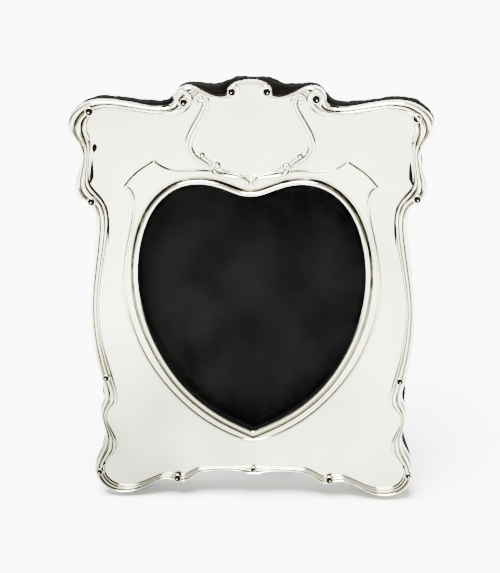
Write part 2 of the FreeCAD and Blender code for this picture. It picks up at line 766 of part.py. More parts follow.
fixed_front = BACK_DEPTH
moving_front = BACK_DEPTH + size("fold_gap")
fixed_centres = [Vector(hole.x, hinge_up + hole.y, 0) for hole in leaf_holes]
moving_centres = [Vector(hole.x, hinge_up - hole.y, 0) for hole in leaf_holes]
fixed_screws = [leaf_screw(centre, fixed_front + size("leaf_gauge"), -1) for centre in fixed_centres]
moving_screws = [leaf_screw(centre, moving_front, 1) for centre in moving_centres]
fixed_web = size("leaf_gauge") + size("fold_gap")
fixed_leaf = leaf_shape(1, 0, fixed_front, fixed_web, size("hinge_pin_radius")).cut(fixed_screws)
moving_bore = size("hinge_pin_radius") + size("hinge_bore_clearance")
moving_leaf = leaf_shape(-1, 1, moving_front, size("leaf_gauge"), moving_bore).cut(moving_screws)
feature_named("hinge_fixed_leaf", fixed_leaf)
feature_named("hinge_fixed_screws", Part.Compound(fixed_screws))

pin = body_named("hinge_pin")
pin_sketch = circle_sketch(pin, "pin_round", [("0", "0", "Sizes.hinge_pin_radius")],
                           "-(Sizes.hinge_half_width + Sizes.pin_overhang)", "YZ_Plane")
grow(pin, "Pad", "pin_pad", pin_sketch, "2 * (Sizes.hinge_half_width + Sizes.pin_overhang)")
local_places[pin.Name] = Placement(Vector(0, hinge_up, -AXIS_DEPTH), Rotation())

# The strut. Its length comes from the height of the pin above the floor.

lean = size("lean_angle")
opening = size("open_angle")
stand = math.radians(opening - lean)


def lean_placement(lift=0.0, shift=0.0):
    """Return the placement that stands the face up and leans it back."""
    return Placement(Vector(0, shift, lift), Rotation(Vector(1, 0, 0), 90 - lean))


covered = cover.copy()
covered.Placement = lean_placement()
covered_box = covered.optimalBoundingBox(False)
LIFT = -covered_box.ZMin - size("foot_trim")
pin_point = lean_placement(LIFT).multVec(Vector(0, hinge_up, -AXIS_DEPTH))
strut_front = moving_front + size("leaf_gauge")
inner_step = AXIS_DEPTH - strut_front
strut_reach = (pin_point.z - inner_step * math.sin(stand)) / math.cos(stand)
STRUT_TOP = hinge_up - size("strut_top_setback")
STRUT_FOOT = hinge_up - strut_reach


def strut_corners(inset, top_inset):
    """Return the corners of the tapered strut, drawn in by an inset, with its foot corners cut."""
    wide = size("strut_foot_half_width") - inset
    slim = size("strut_top_half_width") - inset
    cut = size("strut_corner")
    low = STRUT_FOOT + inset
    high = STRUT_TOP - top_inset
    return [Vector(wide - cut, low, 0), Vector(wide, low + cut, 0), Vector(slim, high, 0),
            Vector(-slim, high, 0), Vector(-wide, low + cut, 0), Vector(cut - wide, low, 0)]


def strut_slab(inset, top_inset, front, back):
    """Return the strut's slab between two depths."""
    corners = [point - Vector(0, 0, front) for point in strut_corners(inset, top_inset)]
    return slab(corners, Vector(0, 0, front - back))


velvet = size("velvet_gauge")
strut_back = strut_front + size("strut_gauge") + 2 * velvet
strut_core = strut_slab(velvet, 0.0, strut_front + velvet, strut_back - velvet)
strut_sleeve = strut_slab(0.0, 0.0, strut_front, strut_back).cut(strut_core)
moving_cut = Part.Compound(moving_screws)
feature_named("strut_board", strut_core.cut(moving_cut))
feature_named("strut_velvet", strut_sleeve.cut(moving_cut))
feature_named("hinge_moving_leaf", moving_leaf)
feature_named("hinge_moving_screws", Part.Compound(moving_screws))

# The silk stay between the panel and the strut, held by a tack at each end

open_turn = Placement(Vector(0, hinge_up, -AXIS_DEPTH), Rotation(Vector(1, 0, 0), opening)).multiply(
    Placement(Vector(0, -hinge_up, AXIS_DEPTH), Rotation()))
stay_gauge = size("stay_gauge")
tab = size("stay_tab")
stay_up = place("stay_height")
half_stay = size("stay_half_width")
fold_room = stay_gauge * STAY_PLAY_SHARE


def stay_side(points):
    """Return the side view of a ribbon of one thickness along a row of points, as a closed outline."""
    near = []
    far = []
    for index, point in enumerate(points):
        before = points[max(index - 1, 0)]
        after = points[min(index + 1, len(points) - 1)]
        along = (after - before).normalize()
        normal = Vector(0, -along.z, along.y) * (stay_gauge / 2)
        near.append(point + normal)
        far.append(point - normal)
    return near + far[::-1]


panel_tab_top = Vector(0, stay_up + tab, -BACK_DEPTH - stay_gauge / 2 - fold_room)
panel_tab_low = Vector(0, stay_up, -BACK_DEPTH - stay_gauge / 2 - fold_room)
strut_tab_low = open_turn.multVec(Vector(0, stay_up, -strut_front + stay_gauge / 2 + fold_room))
strut_tab_end = open_turn.multVec(Vector(0, stay_up - tab, -strut_front + stay_gauge / 2 + fold_room))
middle = (panel_tab_low + strut_tab_low) / 2 - Vector(0, size("stay_bow"), 0)
stay_line = [panel_tab_top, panel_tab_low, middle, strut_tab_low, strut_tab_end]
stay_outline = [point - Vector(half_stay, 0, 0) for point in stay_side(stay_line)]
stay = slab(stay_outline, Vector(2 * half_stay, 0, 0))


def tack(centre, face, inwards):
    """Return a tack whose low pointed head presses on the ribbon."""
    head = size("tack_radius")
    rise = size("tack_rise")
    shank = size("tack_shank_radius")
    tip = face + inwards * size("tack_bite")
    return turned([(0, tip), (shank, tip - inwards * shank), (shank, face), (head, face),
                   (0, face - inwards * rise)], centre)


panel_face = BACK_DEPTH + stay_gauge + 2 * fold_room
panel_tack = tack(Vector(0, stay_up + tab / 2, 0), panel_face, -1)
strut_face = strut_front - stay_gauge - 2 * fold_room
strut_tack_folded = tack(Vector(0, stay_up - tab / 2, 0), strut_face, 1)
strut_tack = strut_tack_folded.copy()
strut_tack.Placement = open_turn
feature_named("ribbon_panel_tack", panel_tack)
feature_named("ribbon_strut_tack", strut_tack_folded)
feature_named("stay_ribbon", stay.cut([panel_tack, strut_tack]))

# The two feet of the board are pared flat where they stand

floor_width = 2 * size("face_half_width")
floor = Part.makeBox(floor_width, floor_width, size("face_height"),
                     Vector(-floor_width / 2, -floor_width / 2, -size("face_height")))
floor.Placement = lean_placement(LIFT).inverse()

# Holes for what passes through wood and velvet

FASTENINGS = {
    "back_board": button_screws,
    "velvet_cover": button_screws + [floor],
    "easel_panel": fixed_screws + [panel_tack],
    "easel_panel_velvet": fixed_screws + [panel_tack],
    "strut_board": [strut_tack_folded],
    "strut_velvet": [strut_tack_folded],
}
by_name = {node.Name: node for node in nodes}
for name, holes in FASTENINGS.items():
    by_name[name].Shape = by_name[name].Shape.cut(holes)

# Standing the pieces up

STRUT_NODES = ("strut_board", "strut_velvet", "hinge_moving_leaf", "hinge_moving_screws",
               "ribbon_strut_tack")
standing = lean_placement(LIFT)
strut_standing = standing.multiply(open_turn)
reach_shape = strut_sleeve.copy()
reach_shape.Placement = strut_standing
front_shape = facing.copy()
front_shape.Placement = standing
SHIFT = -(front_shape.optimalBoundingBox(False).YMin + reach_shape.optimalBoundingBox(False).YMax) / 2
standing = lean_placement(LIFT, SHIFT)
strut_standing = standing.multiply(open_turn)
for node in nodes:
    own = local_places.get(node.Name, Placement())
    base = strut_standing if node.Name in STRUT_NODES else standing
    node.Placement = base.multiply(own)
    node.Label = node.Name
doc.recompute()

for item in doc.Objects:
    if "Invalid" in item.State or "Error" in item.State:
        raise RuntimeError(f"{item.Name} failed: {item.State}")
for node in nodes:
    if node.Shape.isNull() or not node.Shape.isValid():
        raise RuntimeError(f"{node.Name} has no sound shape")

os.makedirs("parts", exist_ok=True)
for node in nodes:
    node.Shape.exportStep(f"parts/{node.Label}.step")
    box = node.Shape.optimalBoundingBox(False)
    spans = [(box.XMin, box.XMax), (box.YMin, box.YMax), (box.ZMin, box.ZMax)]
    words = "  ".join(f"{low:8.2f} {high:8.2f}" for low, high in spans)
    print(f"{node.Label:24s} solids {len(node.Shape.Solids):2d}  {words}")
hinge_axis = standing.multVec(Vector(0, hinge_up, -AXIS_DEPTH))
print(f"strut hinge axis y {hinge_axis.y:.3f} z {hinge_axis.z:.3f}, strut length {strut_reach:.2f}")
for key, centre in zip(button_places, button_centres):
    axis_point = standing.multVec(centre - Vector(0, 0, BACK_DEPTH))
    print(f"turn button {key} at x {axis_point.x:.3f} y {axis_point.y:.3f} z {axis_point.z:.3f}")
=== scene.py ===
"""Looks of a table photo frame: stamped silver with a heart opening on a velvet covered back."""

import json
import logging
import math
from dataclasses import dataclass
from enum import Enum

import bmesh
import bpy
from mathutils import Matrix, Vector, noise
from mathutils.bvhtree import BVHTree
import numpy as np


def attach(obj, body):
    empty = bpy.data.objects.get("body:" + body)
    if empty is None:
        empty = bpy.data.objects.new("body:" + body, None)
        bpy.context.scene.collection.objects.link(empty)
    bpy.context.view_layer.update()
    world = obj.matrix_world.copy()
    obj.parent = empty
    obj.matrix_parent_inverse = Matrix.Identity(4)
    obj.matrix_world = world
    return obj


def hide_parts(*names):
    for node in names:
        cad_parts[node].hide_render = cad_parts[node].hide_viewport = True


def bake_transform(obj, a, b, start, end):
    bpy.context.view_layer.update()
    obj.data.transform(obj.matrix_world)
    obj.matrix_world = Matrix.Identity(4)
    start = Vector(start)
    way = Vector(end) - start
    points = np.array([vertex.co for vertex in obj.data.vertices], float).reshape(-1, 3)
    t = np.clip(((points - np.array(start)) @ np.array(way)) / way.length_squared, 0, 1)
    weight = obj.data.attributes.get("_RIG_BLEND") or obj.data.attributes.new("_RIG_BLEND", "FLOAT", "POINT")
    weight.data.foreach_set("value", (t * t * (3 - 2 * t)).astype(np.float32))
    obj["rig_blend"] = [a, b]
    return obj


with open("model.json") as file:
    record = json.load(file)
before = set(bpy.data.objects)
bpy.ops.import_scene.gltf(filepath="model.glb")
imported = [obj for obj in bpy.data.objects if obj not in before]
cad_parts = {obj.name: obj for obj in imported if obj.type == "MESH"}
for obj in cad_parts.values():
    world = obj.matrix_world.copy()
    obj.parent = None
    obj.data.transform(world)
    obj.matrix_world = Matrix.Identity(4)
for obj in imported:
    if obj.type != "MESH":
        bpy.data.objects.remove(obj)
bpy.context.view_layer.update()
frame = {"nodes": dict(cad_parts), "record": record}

MM = 0.001
# Height on the face where the darkening of tarnish and painted shade begins, the stretch over which it
# grows, and its least share
DARKENING_FOOT = 30.0
DARKENING_REACH = 90.0
DARKENING_LEAST = 0.3
# How close two verts of a piece lie before they are merged
MERGE_DISTANCE = 0.01

Row = list[Vector]
Shares = tuple[tuple[float, float], ...]
Profile = list[tuple[float, float]]
SpunRows = tuple[tuple[float, float, float], ...]
Colour = tuple[float, float, float]
Mesh = bmesh.types.BMesh
Verts = list[bmesh.types.BMVert]
Edges = list[bmesh.types.BMEdge]
Socket = bpy.types.NodeSocket
Material = bpy.types.Material

log = logging.getLogger("photo_frame")


class Body(Enum):
    """Names of the moving bodies that a piece can ride on."""

    FRAME = "frame"
    STRUT = "strut"


class Slot(Enum):
    """Material slots of the record."""

    SILVER = "silver"
    VELVET = "velvet"
    LINING = "lining"
    WOOD = "wood"
    GLASS = "glass"
    CARD = "card"
    BRASS = "brass"
    RIBBON = "ribbon"


# Right half of the silver's edge, from the crest down to the middle of the foot: a point of the
# edge and the point of the field that it is banded to, as shares of the half width and the height.
BORDER_SHARES = (
    (0.000, 1.000, 0.000, 0.989), (0.038, 1.000, 0.033, 0.989), (0.075, 0.997, 0.057, 0.986),
    (0.104, 0.990, 0.062, 0.978), (0.124, 0.981, 0.063, 0.972), (0.124, 0.971, 0.073, 0.963),
    (0.130, 0.964, 0.099, 0.958), (0.166, 0.963, 0.159, 0.956), (0.214, 0.968, 0.217, 0.960),
    (0.265, 0.978, 0.267, 0.968), (0.316, 0.987, 0.307, 0.974), (0.365, 0.987, 0.312, 0.957),
    (0.402, 0.976, 0.316, 0.941), (0.418, 0.962, 0.338, 0.928), (0.415, 0.949, 0.371, 0.920),
    (0.440, 0.941, 0.415, 0.916), (0.502, 0.938, 0.491, 0.914), (0.581, 0.941, 0.570, 0.919),
    (0.674, 0.949, 0.670, 0.925), (0.773, 0.955, 0.758, 0.931), (0.857, 0.954, 0.835, 0.928),
    (0.928, 0.942, 0.875, 0.913), (0.984, 0.921, 0.893, 0.896), (1.005, 0.897, 0.895, 0.878),
    (0.991, 0.875, 0.877, 0.863), (0.952, 0.858, 0.872, 0.847), (0.930, 0.840, 0.883, 0.828),
    (0.926, 0.816, 0.886, 0.810), (0.945, 0.788, 0.893, 0.787), (0.967, 0.761, 0.891, 0.765),
    (0.972, 0.737, 0.871, 0.747), (0.944, 0.719, 0.833, 0.732), (0.891, 0.713, 0.802, 0.713),
    (0.862, 0.694, 0.787, 0.690), (0.856, 0.662, 0.789, 0.658), (0.866, 0.616, 0.802, 0.612),
    (0.884, 0.553, 0.831, 0.550), (0.902, 0.486, 0.855, 0.484), (0.905, 0.424, 0.855, 0.424),
    (0.893, 0.363, 0.835, 0.365), (0.869, 0.312, 0.804, 0.314), (0.845, 0.273, 0.772, 0.268),
    (0.832, 0.248, 0.759, 0.241), (0.851, 0.229, 0.759, 0.223), (0.869, 0.209, 0.798, 0.213),
    (0.857, 0.185, 0.831, 0.196), (0.838, 0.163, 0.824, 0.169), (0.835, 0.138, 0.782, 0.144),
    (0.864, 0.112, 0.765, 0.116), (0.897, 0.087, 0.791, 0.095), (0.908, 0.061, 0.840, 0.080),
    (0.893, 0.034, 0.853, 0.053), (0.849, 0.011, 0.822, 0.031), (0.778, -0.001, 0.762, 0.019),
    (0.701, 0.000, 0.692, 0.019), (0.621, 0.014, 0.614, 0.031), (0.548, 0.033, 0.539, 0.047),
    (0.495, 0.037, 0.486, 0.054), (0.453, 0.032, 0.446, 0.050), (0.413, 0.027, 0.411, 0.046),
    (0.369, 0.034, 0.367, 0.053), (0.325, 0.051, 0.320, 0.067), (0.254, 0.059, 0.254, 0.071),
    (0.155, 0.060, 0.155, 0.072), (0.075, 0.059, 0.075, 0.072), (0.035, 0.050, 0.035, 0.071),
    (0.000, 0.050, 0.000, 0.071),
)

# Right half of the board's calmer outline, shares of the same half width and height.
BOARD_SHARES = (
    (0.000, 0.994), (0.055, 0.994), (0.110, 0.990), (0.160, 0.977), (0.215, 0.974), (0.282, 0.980),
    (0.343, 0.982), (0.390, 0.972), (0.411, 0.955), (0.442, 0.939), (0.514, 0.935), (0.597, 0.939),
    (0.696, 0.946), (0.790, 0.951), (0.873, 0.948), (0.946, 0.929), (0.997, 0.899), (0.975, 0.870),
    (0.931, 0.848), (0.924, 0.817), (0.946, 0.780), (0.961, 0.745), (0.928, 0.723), (0.875, 0.707),
    (0.854, 0.674), (0.862, 0.618), (0.882, 0.549), (0.897, 0.470), (0.893, 0.396), (0.866, 0.322),
    (0.849, 0.262), (0.851, 0.215), (0.843, 0.174), (0.840, 0.137), (0.880, 0.102), (0.895, 0.065),
    (0.864, 0.025), (0.785, 0.004), (0.696, 0.007), (0.602, 0.025), (0.514, 0.039), (0.436, 0.035),
    (0.376, 0.039), (0.309, 0.057), (0.210, 0.062), (0.099, 0.062), (0.033, 0.057), (0.000, 0.057),
)

# Right half of the heart, from the dip between its lobes to its tip, shares of its own size.
HEART_SHARES = (
    (0.000, 0.946), (0.080, 0.946), (0.181, 0.965), (0.320, 0.988), (0.477, 0.996), (0.640, 0.980),
    (0.790, 0.930), (0.897, 0.860), (0.967, 0.766), (1.000, 0.662), (0.991, 0.554), (0.936, 0.446),
    (0.845, 0.343), (0.706, 0.234), (0.532, 0.143), (0.313, 0.068), (0.139, 0.028), (0.000, 0.000),
)

# Right half of the raised ground about the heart, in three runs between its corners.
SURROUND_SHARES = (
    ((0.000, 1.031), (0.174, 1.031), (0.383, 1.054), (0.522, 1.049), (0.661, 1.048), (0.765, 1.063),
     (0.835, 1.089)),
    ((0.835, 1.089), (0.915, 1.066), (1.019, 1.035), (1.111, 0.982)),
    ((1.111, 0.982), (1.047, 0.960), (1.023, 0.908), (1.050, 0.838), (1.099, 0.746), (1.134, 0.638),
     (1.137, 0.538), (1.085, 0.427), (0.991, 0.315), (0.852, 0.212), (0.668, 0.115), (0.452, 0.031),
     (0.209, -0.028), (0.070, -0.049), (0.000, -0.049)),
)


@dataclass(frozen=True)
class FrameSizes:
    """Sizes on the face and depths behind the field that pieces share, in millimetres and degrees."""

    half_width: float = 90.5
    height: float = 216.0
    heart_half_width: float = 57.5
    heart_height: float = 130.0
    heart_foot: float = 34.5
    silver_gauge: float = 0.8
    board_front: float = 3.2
    board_back: float = 13.8
    strut_front: float = 15.5
    hinge_up: float = 148.0
    hinge_depth: float = 16.0
    open_angle: float = 26.0


SIZES = FrameSizes()


@dataclass(frozen=True)
class FacePlane:
    """The leaning plane of the silver's field, and the way from its own sizes to the row."""

    matrix: Matrix

    @classmethod
    def from_record(cls, record: dict) -> "FacePlane":
        """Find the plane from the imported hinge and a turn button's axis.

        Args:
            record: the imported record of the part.

        Returns:
            The plane whose matrix takes face sizes in metres to the row.
        """
        joints = {joint["name"]: joint for joint in record["behaviour"]["joints"]}
        hinge = joints["strut_hinge"]
        front = Vector(joints["turn_button_low_left_pivot"]["axis"])
        lean = math.atan2(front.z, -front.y)
        turn = Matrix.Rotation(math.pi / 2 - lean, 4, "X")
        local = Vector((0.0, SIZES.hinge_up, -SIZES.hinge_depth)) * MM
        shift = Vector(hinge["pos_m"]) - turn @ local
        return cls(Matrix.Translation(shift) @ turn)

    def at(self, across: float, up: float, out: float = 0.0) -> Vector:
        """Return the row's place of a point given in millimetres on the face."""
        return self.matrix @ (Vector((across, up, out)) * MM)


PLANE = FacePlane.from_record(frame["record"])


def smooth_line(points: Row, steps: int) -> Row:
    """Draw a cubic through a row of control points with its ends at the first and the last.

    Args:
        points: the control points.
        steps: points on each span.

    Returns:
        The points of the smooth line, both ends included.
    """
    padded = [points[0] * 2 - points[1]] + points + [points[-1] * 2 - points[-2]]
    line = []
    for index in range(len(padded) - 3):
        a, b, c, d = padded[index:index + 4]
        for step in range(steps):
            t = step / steps
            line.append((a * (1 - t) ** 3 + b * (3 * t ** 3 - 6 * t * t + 4)
                         + c * (-3 * t ** 3 + 3 * t * t + 3 * t + 1) + d * t ** 3) / 6)
    line.append(points[-1].copy())
    return line


def heading(line: Row, index: int) -> Vector:
    """Return the direction of a line at one of its points."""
    return (line[min(index + 1, len(line) - 1)] - line[max(index - 1, 0)]).normalized()


def offset(points: Row, distance: float) -> Row:
    """Move a half outline's points outwards, keeping its ends on the middle line.

    Args:
        points: the right half's points, in millimetres.
        distance: how far they move, inwards where it is negative.

    Returns:
        The moved points.
    """
    first = Vector((-points[1].x, points[1].y, 0))
    last = Vector((-points[-2].x, points[-2].y, 0))
    padded = [first] + points + [last]
    moved = []
    for before, point, after in zip(padded, points, padded[2:]):
        entering = (point - before).normalized()
        leaving = (after - point).normalized()
        middle = (entering + leaving).normalized()
        normal = Vector((-middle.y, middle.x, 0))
        lean = Vector((-entering.y, entering.x, 0)).dot(normal)
        moved.append(point + normal * (distance / lean))
    moved[0].x = 0
    moved[-1].x = 0
    return moved


def full_ring(runs: list[Row], steps: int) -> Row:
    """Draw a whole closed outline from the control points of its right half.

    Args:
        runs: the runs of control points, meeting at corners.
        steps: points on each span.

    Returns:
        The closed ring, down the right side and up the left.
    """
    right: Row = []
    for run in runs:
        right += smooth_line(run, steps)[:-1]
    right.append(runs[-1][-1].copy())
    left = [Vector((-point.x, point.y, point.z)) for point in right[1:-1]]
    return right + left[::-1]


def at_height(ring: Row, height: float) -> Row:
    """Return a ring at a height above the field."""
    return [Vector((point.x, point.y, height)) for point in ring]


def share_points(shares: Shares, half_width: float = SIZES.half_width, height: float = SIZES.height,
                 foot: float = 0.0) -> Row:
    """Return points of the face, in millimetres, from shares of a half width and a height."""
    return [Vector((across * half_width, foot + up * height, 0)) for across, up in shares]


def heart_points(shares: Shares) -> Row:
    """Return points of the face, in millimetres, from shares of the heart's own size."""
    return share_points(shares, SIZES.heart_half_width, SIZES.heart_height, SIZES.heart_foot)


def fresh_mesh() -> Mesh:
    """Make an empty mesh whose verts can carry tarnish and painted shade.

    Returns:
        The mesh.
    """
    bm = bmesh.new()
    bm.verts.layers.float.new("tarnish_and_shade")
    return bm


def ring_edges(bm: Mesh, verts: Verts) -> Edges:
    """Return the edges between neighbouring verts of a ring."""
    return [bm.edges.get((start, end)) for start, end in zip(verts, verts[1:] + verts[:1])]


def open_ring(bm: Mesh, ring: Row) -> Verts:
    """Start a closed chain of edges on a ring of points.

    Args:
        bm: the mesh.
        ring: the points, in millimetres.

    Returns:
        The chain's verts, in order.
    """
    verts = [bm.verts.new(point * MM) for point in ring]
    for start, end in zip(verts, verts[1:] + verts[:1]):
        bm.edges.new((start, end))
    return verts


def pull(bm: Mesh, verts: Verts, ring: Row) -> Verts:
    """Extrude a ring of edges onto the given points, or start the ring where there is none yet.

    Args:
        bm: the mesh.
        verts: the ring to extrude, in order, or an empty list.
        ring: the places of the new ring, in millimetres, in the same order.

    Returns:
        The new ring's verts, in order.
    """
    if not verts:
        return open_ring(bm, ring)
    grown = bmesh.ops.extrude_edge_only(bm, edges=ring_edges(bm, verts))
    fresh = {item for item in grown["geom"] if isinstance(item, bmesh.types.BMVert)}
    twins = [next(edge.other_vert(vert) for edge in vert.link_edges if edge.other_vert(vert) in fresh)
             for vert in verts]
    for vert, point in zip(twins, ring):
        vert.co = point * MM
    return twins


def tube(bm: Mesh, rings: list[Row]) -> list[Verts]:
    """Pull a closed section from place to place, and close both ends.

    Args:
        bm: the mesh.
        rings: the section's points at each place, in millimetres.

    Returns:
        The verts of every ring.
    """
    rows: list[Verts] = []
    for ring in rings:
        rows.append(pull(bm, rows[-1] if rows else [], ring))
    for end in (rows[0], rows[-1]):
        bmesh.ops.contextual_create(bm, geom=ring_edges(bm, end))
    return rows


def fill(bm: Mesh, outer: Verts, inner: Verts, facing: float = 1.0) -> None:
    """Fill the ground between two rings, facing the front, or the back where facing is -1."""
    edges = ring_edges(bm, outer) + ring_edges(bm, inner)
    bmesh.ops.triangle_fill(bm, use_beauty=True, edges=edges, normal=(0, 0, facing))


def crease(bm: Mesh, verts: Verts) -> None:
    """Mark a ring as a sharp line."""
    for edge in ring_edges(bm, verts):
        edge.smooth = False


def tarnish_and_shade(bm: Mesh, verts: Verts, amount: float) -> None:
    """Note how dark verts are painted, by tarnish and by painted shade: less towards the foot.

    Args:
        bm: the mesh.
        verts: the verts.
        amount: the darkening high on the face, from 0 to 1.
    """
    layer = bm.verts.layers.float["tarnish_and_shade"]
    for vert in verts:
        reach = (vert.co.y / MM - DARKENING_FOOT) / DARKENING_REACH
        vert[layer] = amount * min(1.0, max(DARKENING_LEAST, reach))


def place(name: str, data: bpy.types.ID) -> bpy.types.Object:
    """Put a new object in the scene.

    Args:
        name: its name.
        data: its mesh, camera or light.

    Returns:
        The object.
    """
    thing = bpy.data.objects.new(name, data)
    bpy.context.scene.collection.objects.link(thing)
    return thing


def node_mesh(node: str) -> Mesh:
    """Copy a CAD node's triangles, in the row.

    Args:
        node: the node's name.

    Returns:
        The copy, for its user to free.
    """
    bm = bmesh.new()
    bm.from_mesh(frame["nodes"][node].data)
    return bm


def stand_up(bm: Mesh, name: str, body: Body | None, material: Material) -> bpy.types.Object:
    """Finish a mesh made in face sizes: tidy it, lean it with the face and let it ride on a body.

    Args:
        bm: the mesh, freed at the end.
        name: the piece's name.
        body: the body it rides on, or none where it bends between two.
        material: its finish.

    Returns:
        The new piece.
    """
    bmesh.ops.remove_doubles(bm, verts=bm.verts, dist=MERGE_DISTANCE * MM)
    bmesh.ops.recalc_face_normals(bm, faces=bm.faces)
    bmesh.ops.transform(bm, matrix=PLANE.matrix, verts=bm.verts)
    for face in bm.faces:
        face.smooth = True
    mesh = bpy.data.meshes.new(name)
    bm.to_mesh(mesh)
    bm.free()
    mesh.materials.append(material)
    piece = place(name, mesh)
    if body:
        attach(piece, body.value)
    log.info("%s: %d faces", name, len(mesh.polygons))
    return piece


@dataclass(frozen=True)
class Pattern:
    """A noise: patterns in each metre, octaves, strength of the finer ones, and a grain's stretch."""

    scale: float
    detail: float = 4.0
    roughness: float = 0.5
    stretch: tuple[float, float, float] | None = None


class NodeGraph:
    """The nodes and links of a material or of the world."""

    def __init__(self, owner: Material | bpy.types.World) -> None:
        """Start from the owner's own nodes.

        Args:
            owner: the material or the world.
        """
        owner.use_nodes = True
        self.nodes = owner.node_tree.nodes
        self.links = owner.node_tree.links

    def feed(self, node: bpy.types.Node, inputs: dict) -> None:
        """Link the inputs of a node that are given a socket, and set the others.

        Args:
            node: the node.
            inputs: sockets or values by the names of the inputs.
        """
        for key, value in inputs.items():
            if isinstance(value, Socket):
                self.links.new(value, node.inputs[key])
            else:
                node.inputs[key].default_value = value

    def add(self, kind: str, inputs: dict, **settings: str) -> bpy.types.Node:
        """Add a node, choose its settings and feed its inputs.

        Args:
            kind: the node's type, without its prefix.
            inputs: sockets or values by the names of the inputs.
            settings: the node's own choices.

        Returns:
            The new node.
        """
        node = self.nodes.new("ShaderNode" + kind)
        for name, choice in settings.items():
            setattr(node, name, choice)
        self.feed(node, inputs)
        return node

    def spread(self, factor: Socket, low: float, high: float, start: float = 0.0,
               end: float = 1.0) -> Socket:
        """Map a factor that goes from start to end onto a range from low to high."""
        inputs = {"Value": factor, "From Min": start, "From Max": end, "To Min": low, "To Max": high}
        return self.add("MapRange", inputs).outputs["Result"]

    def ramp(self, factor: Socket, stops: tuple[float, ...], colours: tuple[Colour, ...]) -> Socket:
        """Turn a factor into a colour that passes through the given ones.

        Args:
            factor: the factor, from 0 to 1.
            stops: where each colour stands.
            colours: the colours.

        Returns:
            The colour.
        """
        node = self.add("ValToRGB", {"Fac": factor})
        elements = node.color_ramp.elements
        while len(elements) < len(stops):
            elements.new(0.5)
        for element, stop, colour in zip(elements, stops, colours):
            element.position = stop
            element.color = (*colour, 1.0)
        return node.outputs["Color"]


class Shader(NodeGraph):
    """A node material under construction."""

    def __init__(self, name: str) -> None:
        """Start a material with a plain principled surface.

        Args:
            name: the material's name.
        """
        self.material = bpy.data.materials.new(name)
        super().__init__(self.material)
        self.surface = self.nodes["Principled BSDF"]
        self.where = self.add("TexCoord", {}).outputs["Object"]

    def set(self, **sockets: Socket | float | tuple[float, ...]) -> None:
        """Feed the surface's sockets by name, with underscores for blanks."""
        self.feed(self.surface, {name.replace("_", " "): value for name, value in sockets.items()})

    def noise(self, pattern: Pattern) -> Socket:
        """Add a noise on the object's own coordinates.

        Args:
            pattern: its size and grain.

        Returns:
            Its factor.
        """
        source = self.where
        if pattern.stretch:
            source = self.add("Mapping", {"Vector": source, "Scale": pattern.stretch}).outputs["Vector"]
        inputs = {"Vector": source, "Scale": pattern.scale, "Detail": pattern.detail,
                  "Roughness": pattern.roughness}
        return self.add("TexNoise", inputs).outputs["Fac"]

    def math(self, operation: str, *values: Socket | float) -> Socket:
        """Combine values by an operation."""
        return self.add("Math", dict(enumerate(values)), operation=operation).outputs["Value"]

    def bump(self, layers: list[tuple[Socket, float, float]]) -> None:
        """Stack bumps on the surface's normal.

        Args:
            layers: rows of height, strength and distance in metres.
        """
        below = {}
        for height, strength, distance in layers:
            inputs = {"Height": height, "Strength": strength, "Distance": distance, **below}
            below = {"Normal": self.add("Bump", inputs).outputs["Normal"]}
        self.feed(self.surface, below)


@dataclass(frozen=True)
class SilverFinish:
    """Polished old silver, warm white, with painted reflection: darker towards its foot and in large
    patches, and fine rubbing.
    """

    # Colours: the light tint high up, the dark painted shade towards the foot, and the dark colour of
    # tarnish and painted shade
    tint: Colour = (0.945, 0.930, 0.700)
    shade: Colour = (0.225, 0.222, 0.168)
    tarnish_and_shade_colour: Colour = (0.022, 0.021, 0.018)
    gloss: tuple[float, float] = (0.13, 0.21)
    top: float = 0.211
    reflection_stops: tuple[float, float] = (0.38, 1.00)
    foot_shade_weight: float = 0.6
    reflection_patch_weight: float = 0.9
    stain_range: tuple[float, float] = (0.55, 1.45)
    patches: Pattern = Pattern(13.0, 2.0)
    stains: Pattern = Pattern(130.0, 3.0)
    handling: Pattern = Pattern(160.0, 6.0)
    hammering: Pattern = Pattern(38.0, 2.0)
    rubbing: Pattern = Pattern(2600.0, 3.0, 0.6, (1.0, 0.35, 0.35))
    relief: tuple[tuple[float, float], ...] = ((0.10, 0.0006), (0.05, 0.00004))

    def painted_reflection(self, shader: Shader) -> Socket:
        """Colour the clean metal with painted reflection: large lighter and darker patches, and darker
        towards the foot.

        Args:
            shader: the material under construction.

        Returns:
            The colour.
        """
        # Painted reflection: the colour runs from the shade near the foot to the tint higher up, and through
        # large patches
        height = shader.add("SeparateXYZ", {"Vector": shader.where}).outputs["Z"]
        foot_shade = shader.spread(height, 0.0, self.foot_shade_weight, end=self.top)
        reflection_factor = shader.math("MULTIPLY_ADD", shader.noise(self.patches), self.reflection_patch_weight, foot_shade)
        return shader.ramp(reflection_factor, self.reflection_stops, (self.shade, self.tint))

    def material(self) -> Material:
        """Make the silver, darkened by tarnish and painted shade where the mesh carries them.

        Returns:
            The node material.
        """
        shader = Shader("polished_silver")
        # Tarnish and painted shade: the dark colour is mixed in where the mesh carries it
        darkening = shader.add("Attribute", {}, attribute_name="tarnish_and_shade").outputs["Fac"]
        uneven = shader.spread(shader.noise(self.stains), *self.stain_range)
        inputs = {"Factor": shader.math("MULTIPLY", darkening, uneven), "A": self.painted_reflection(shader),
                  "B": (*self.tarnish_and_shade_colour, 1.0)}
        mixed = shader.add("Mix", inputs, data_type="RGBA")
        shader.set(Metallic=1.0, Base_Color=mixed.outputs["Result"],
                   Roughness=shader.spread(shader.noise(self.handling), *self.gloss))
        patterns = (self.hammering, self.rubbing)
        shader.bump([(shader.noise(pattern), *depth) for pattern, depth in zip(patterns, self.relief)])
        return shader.material


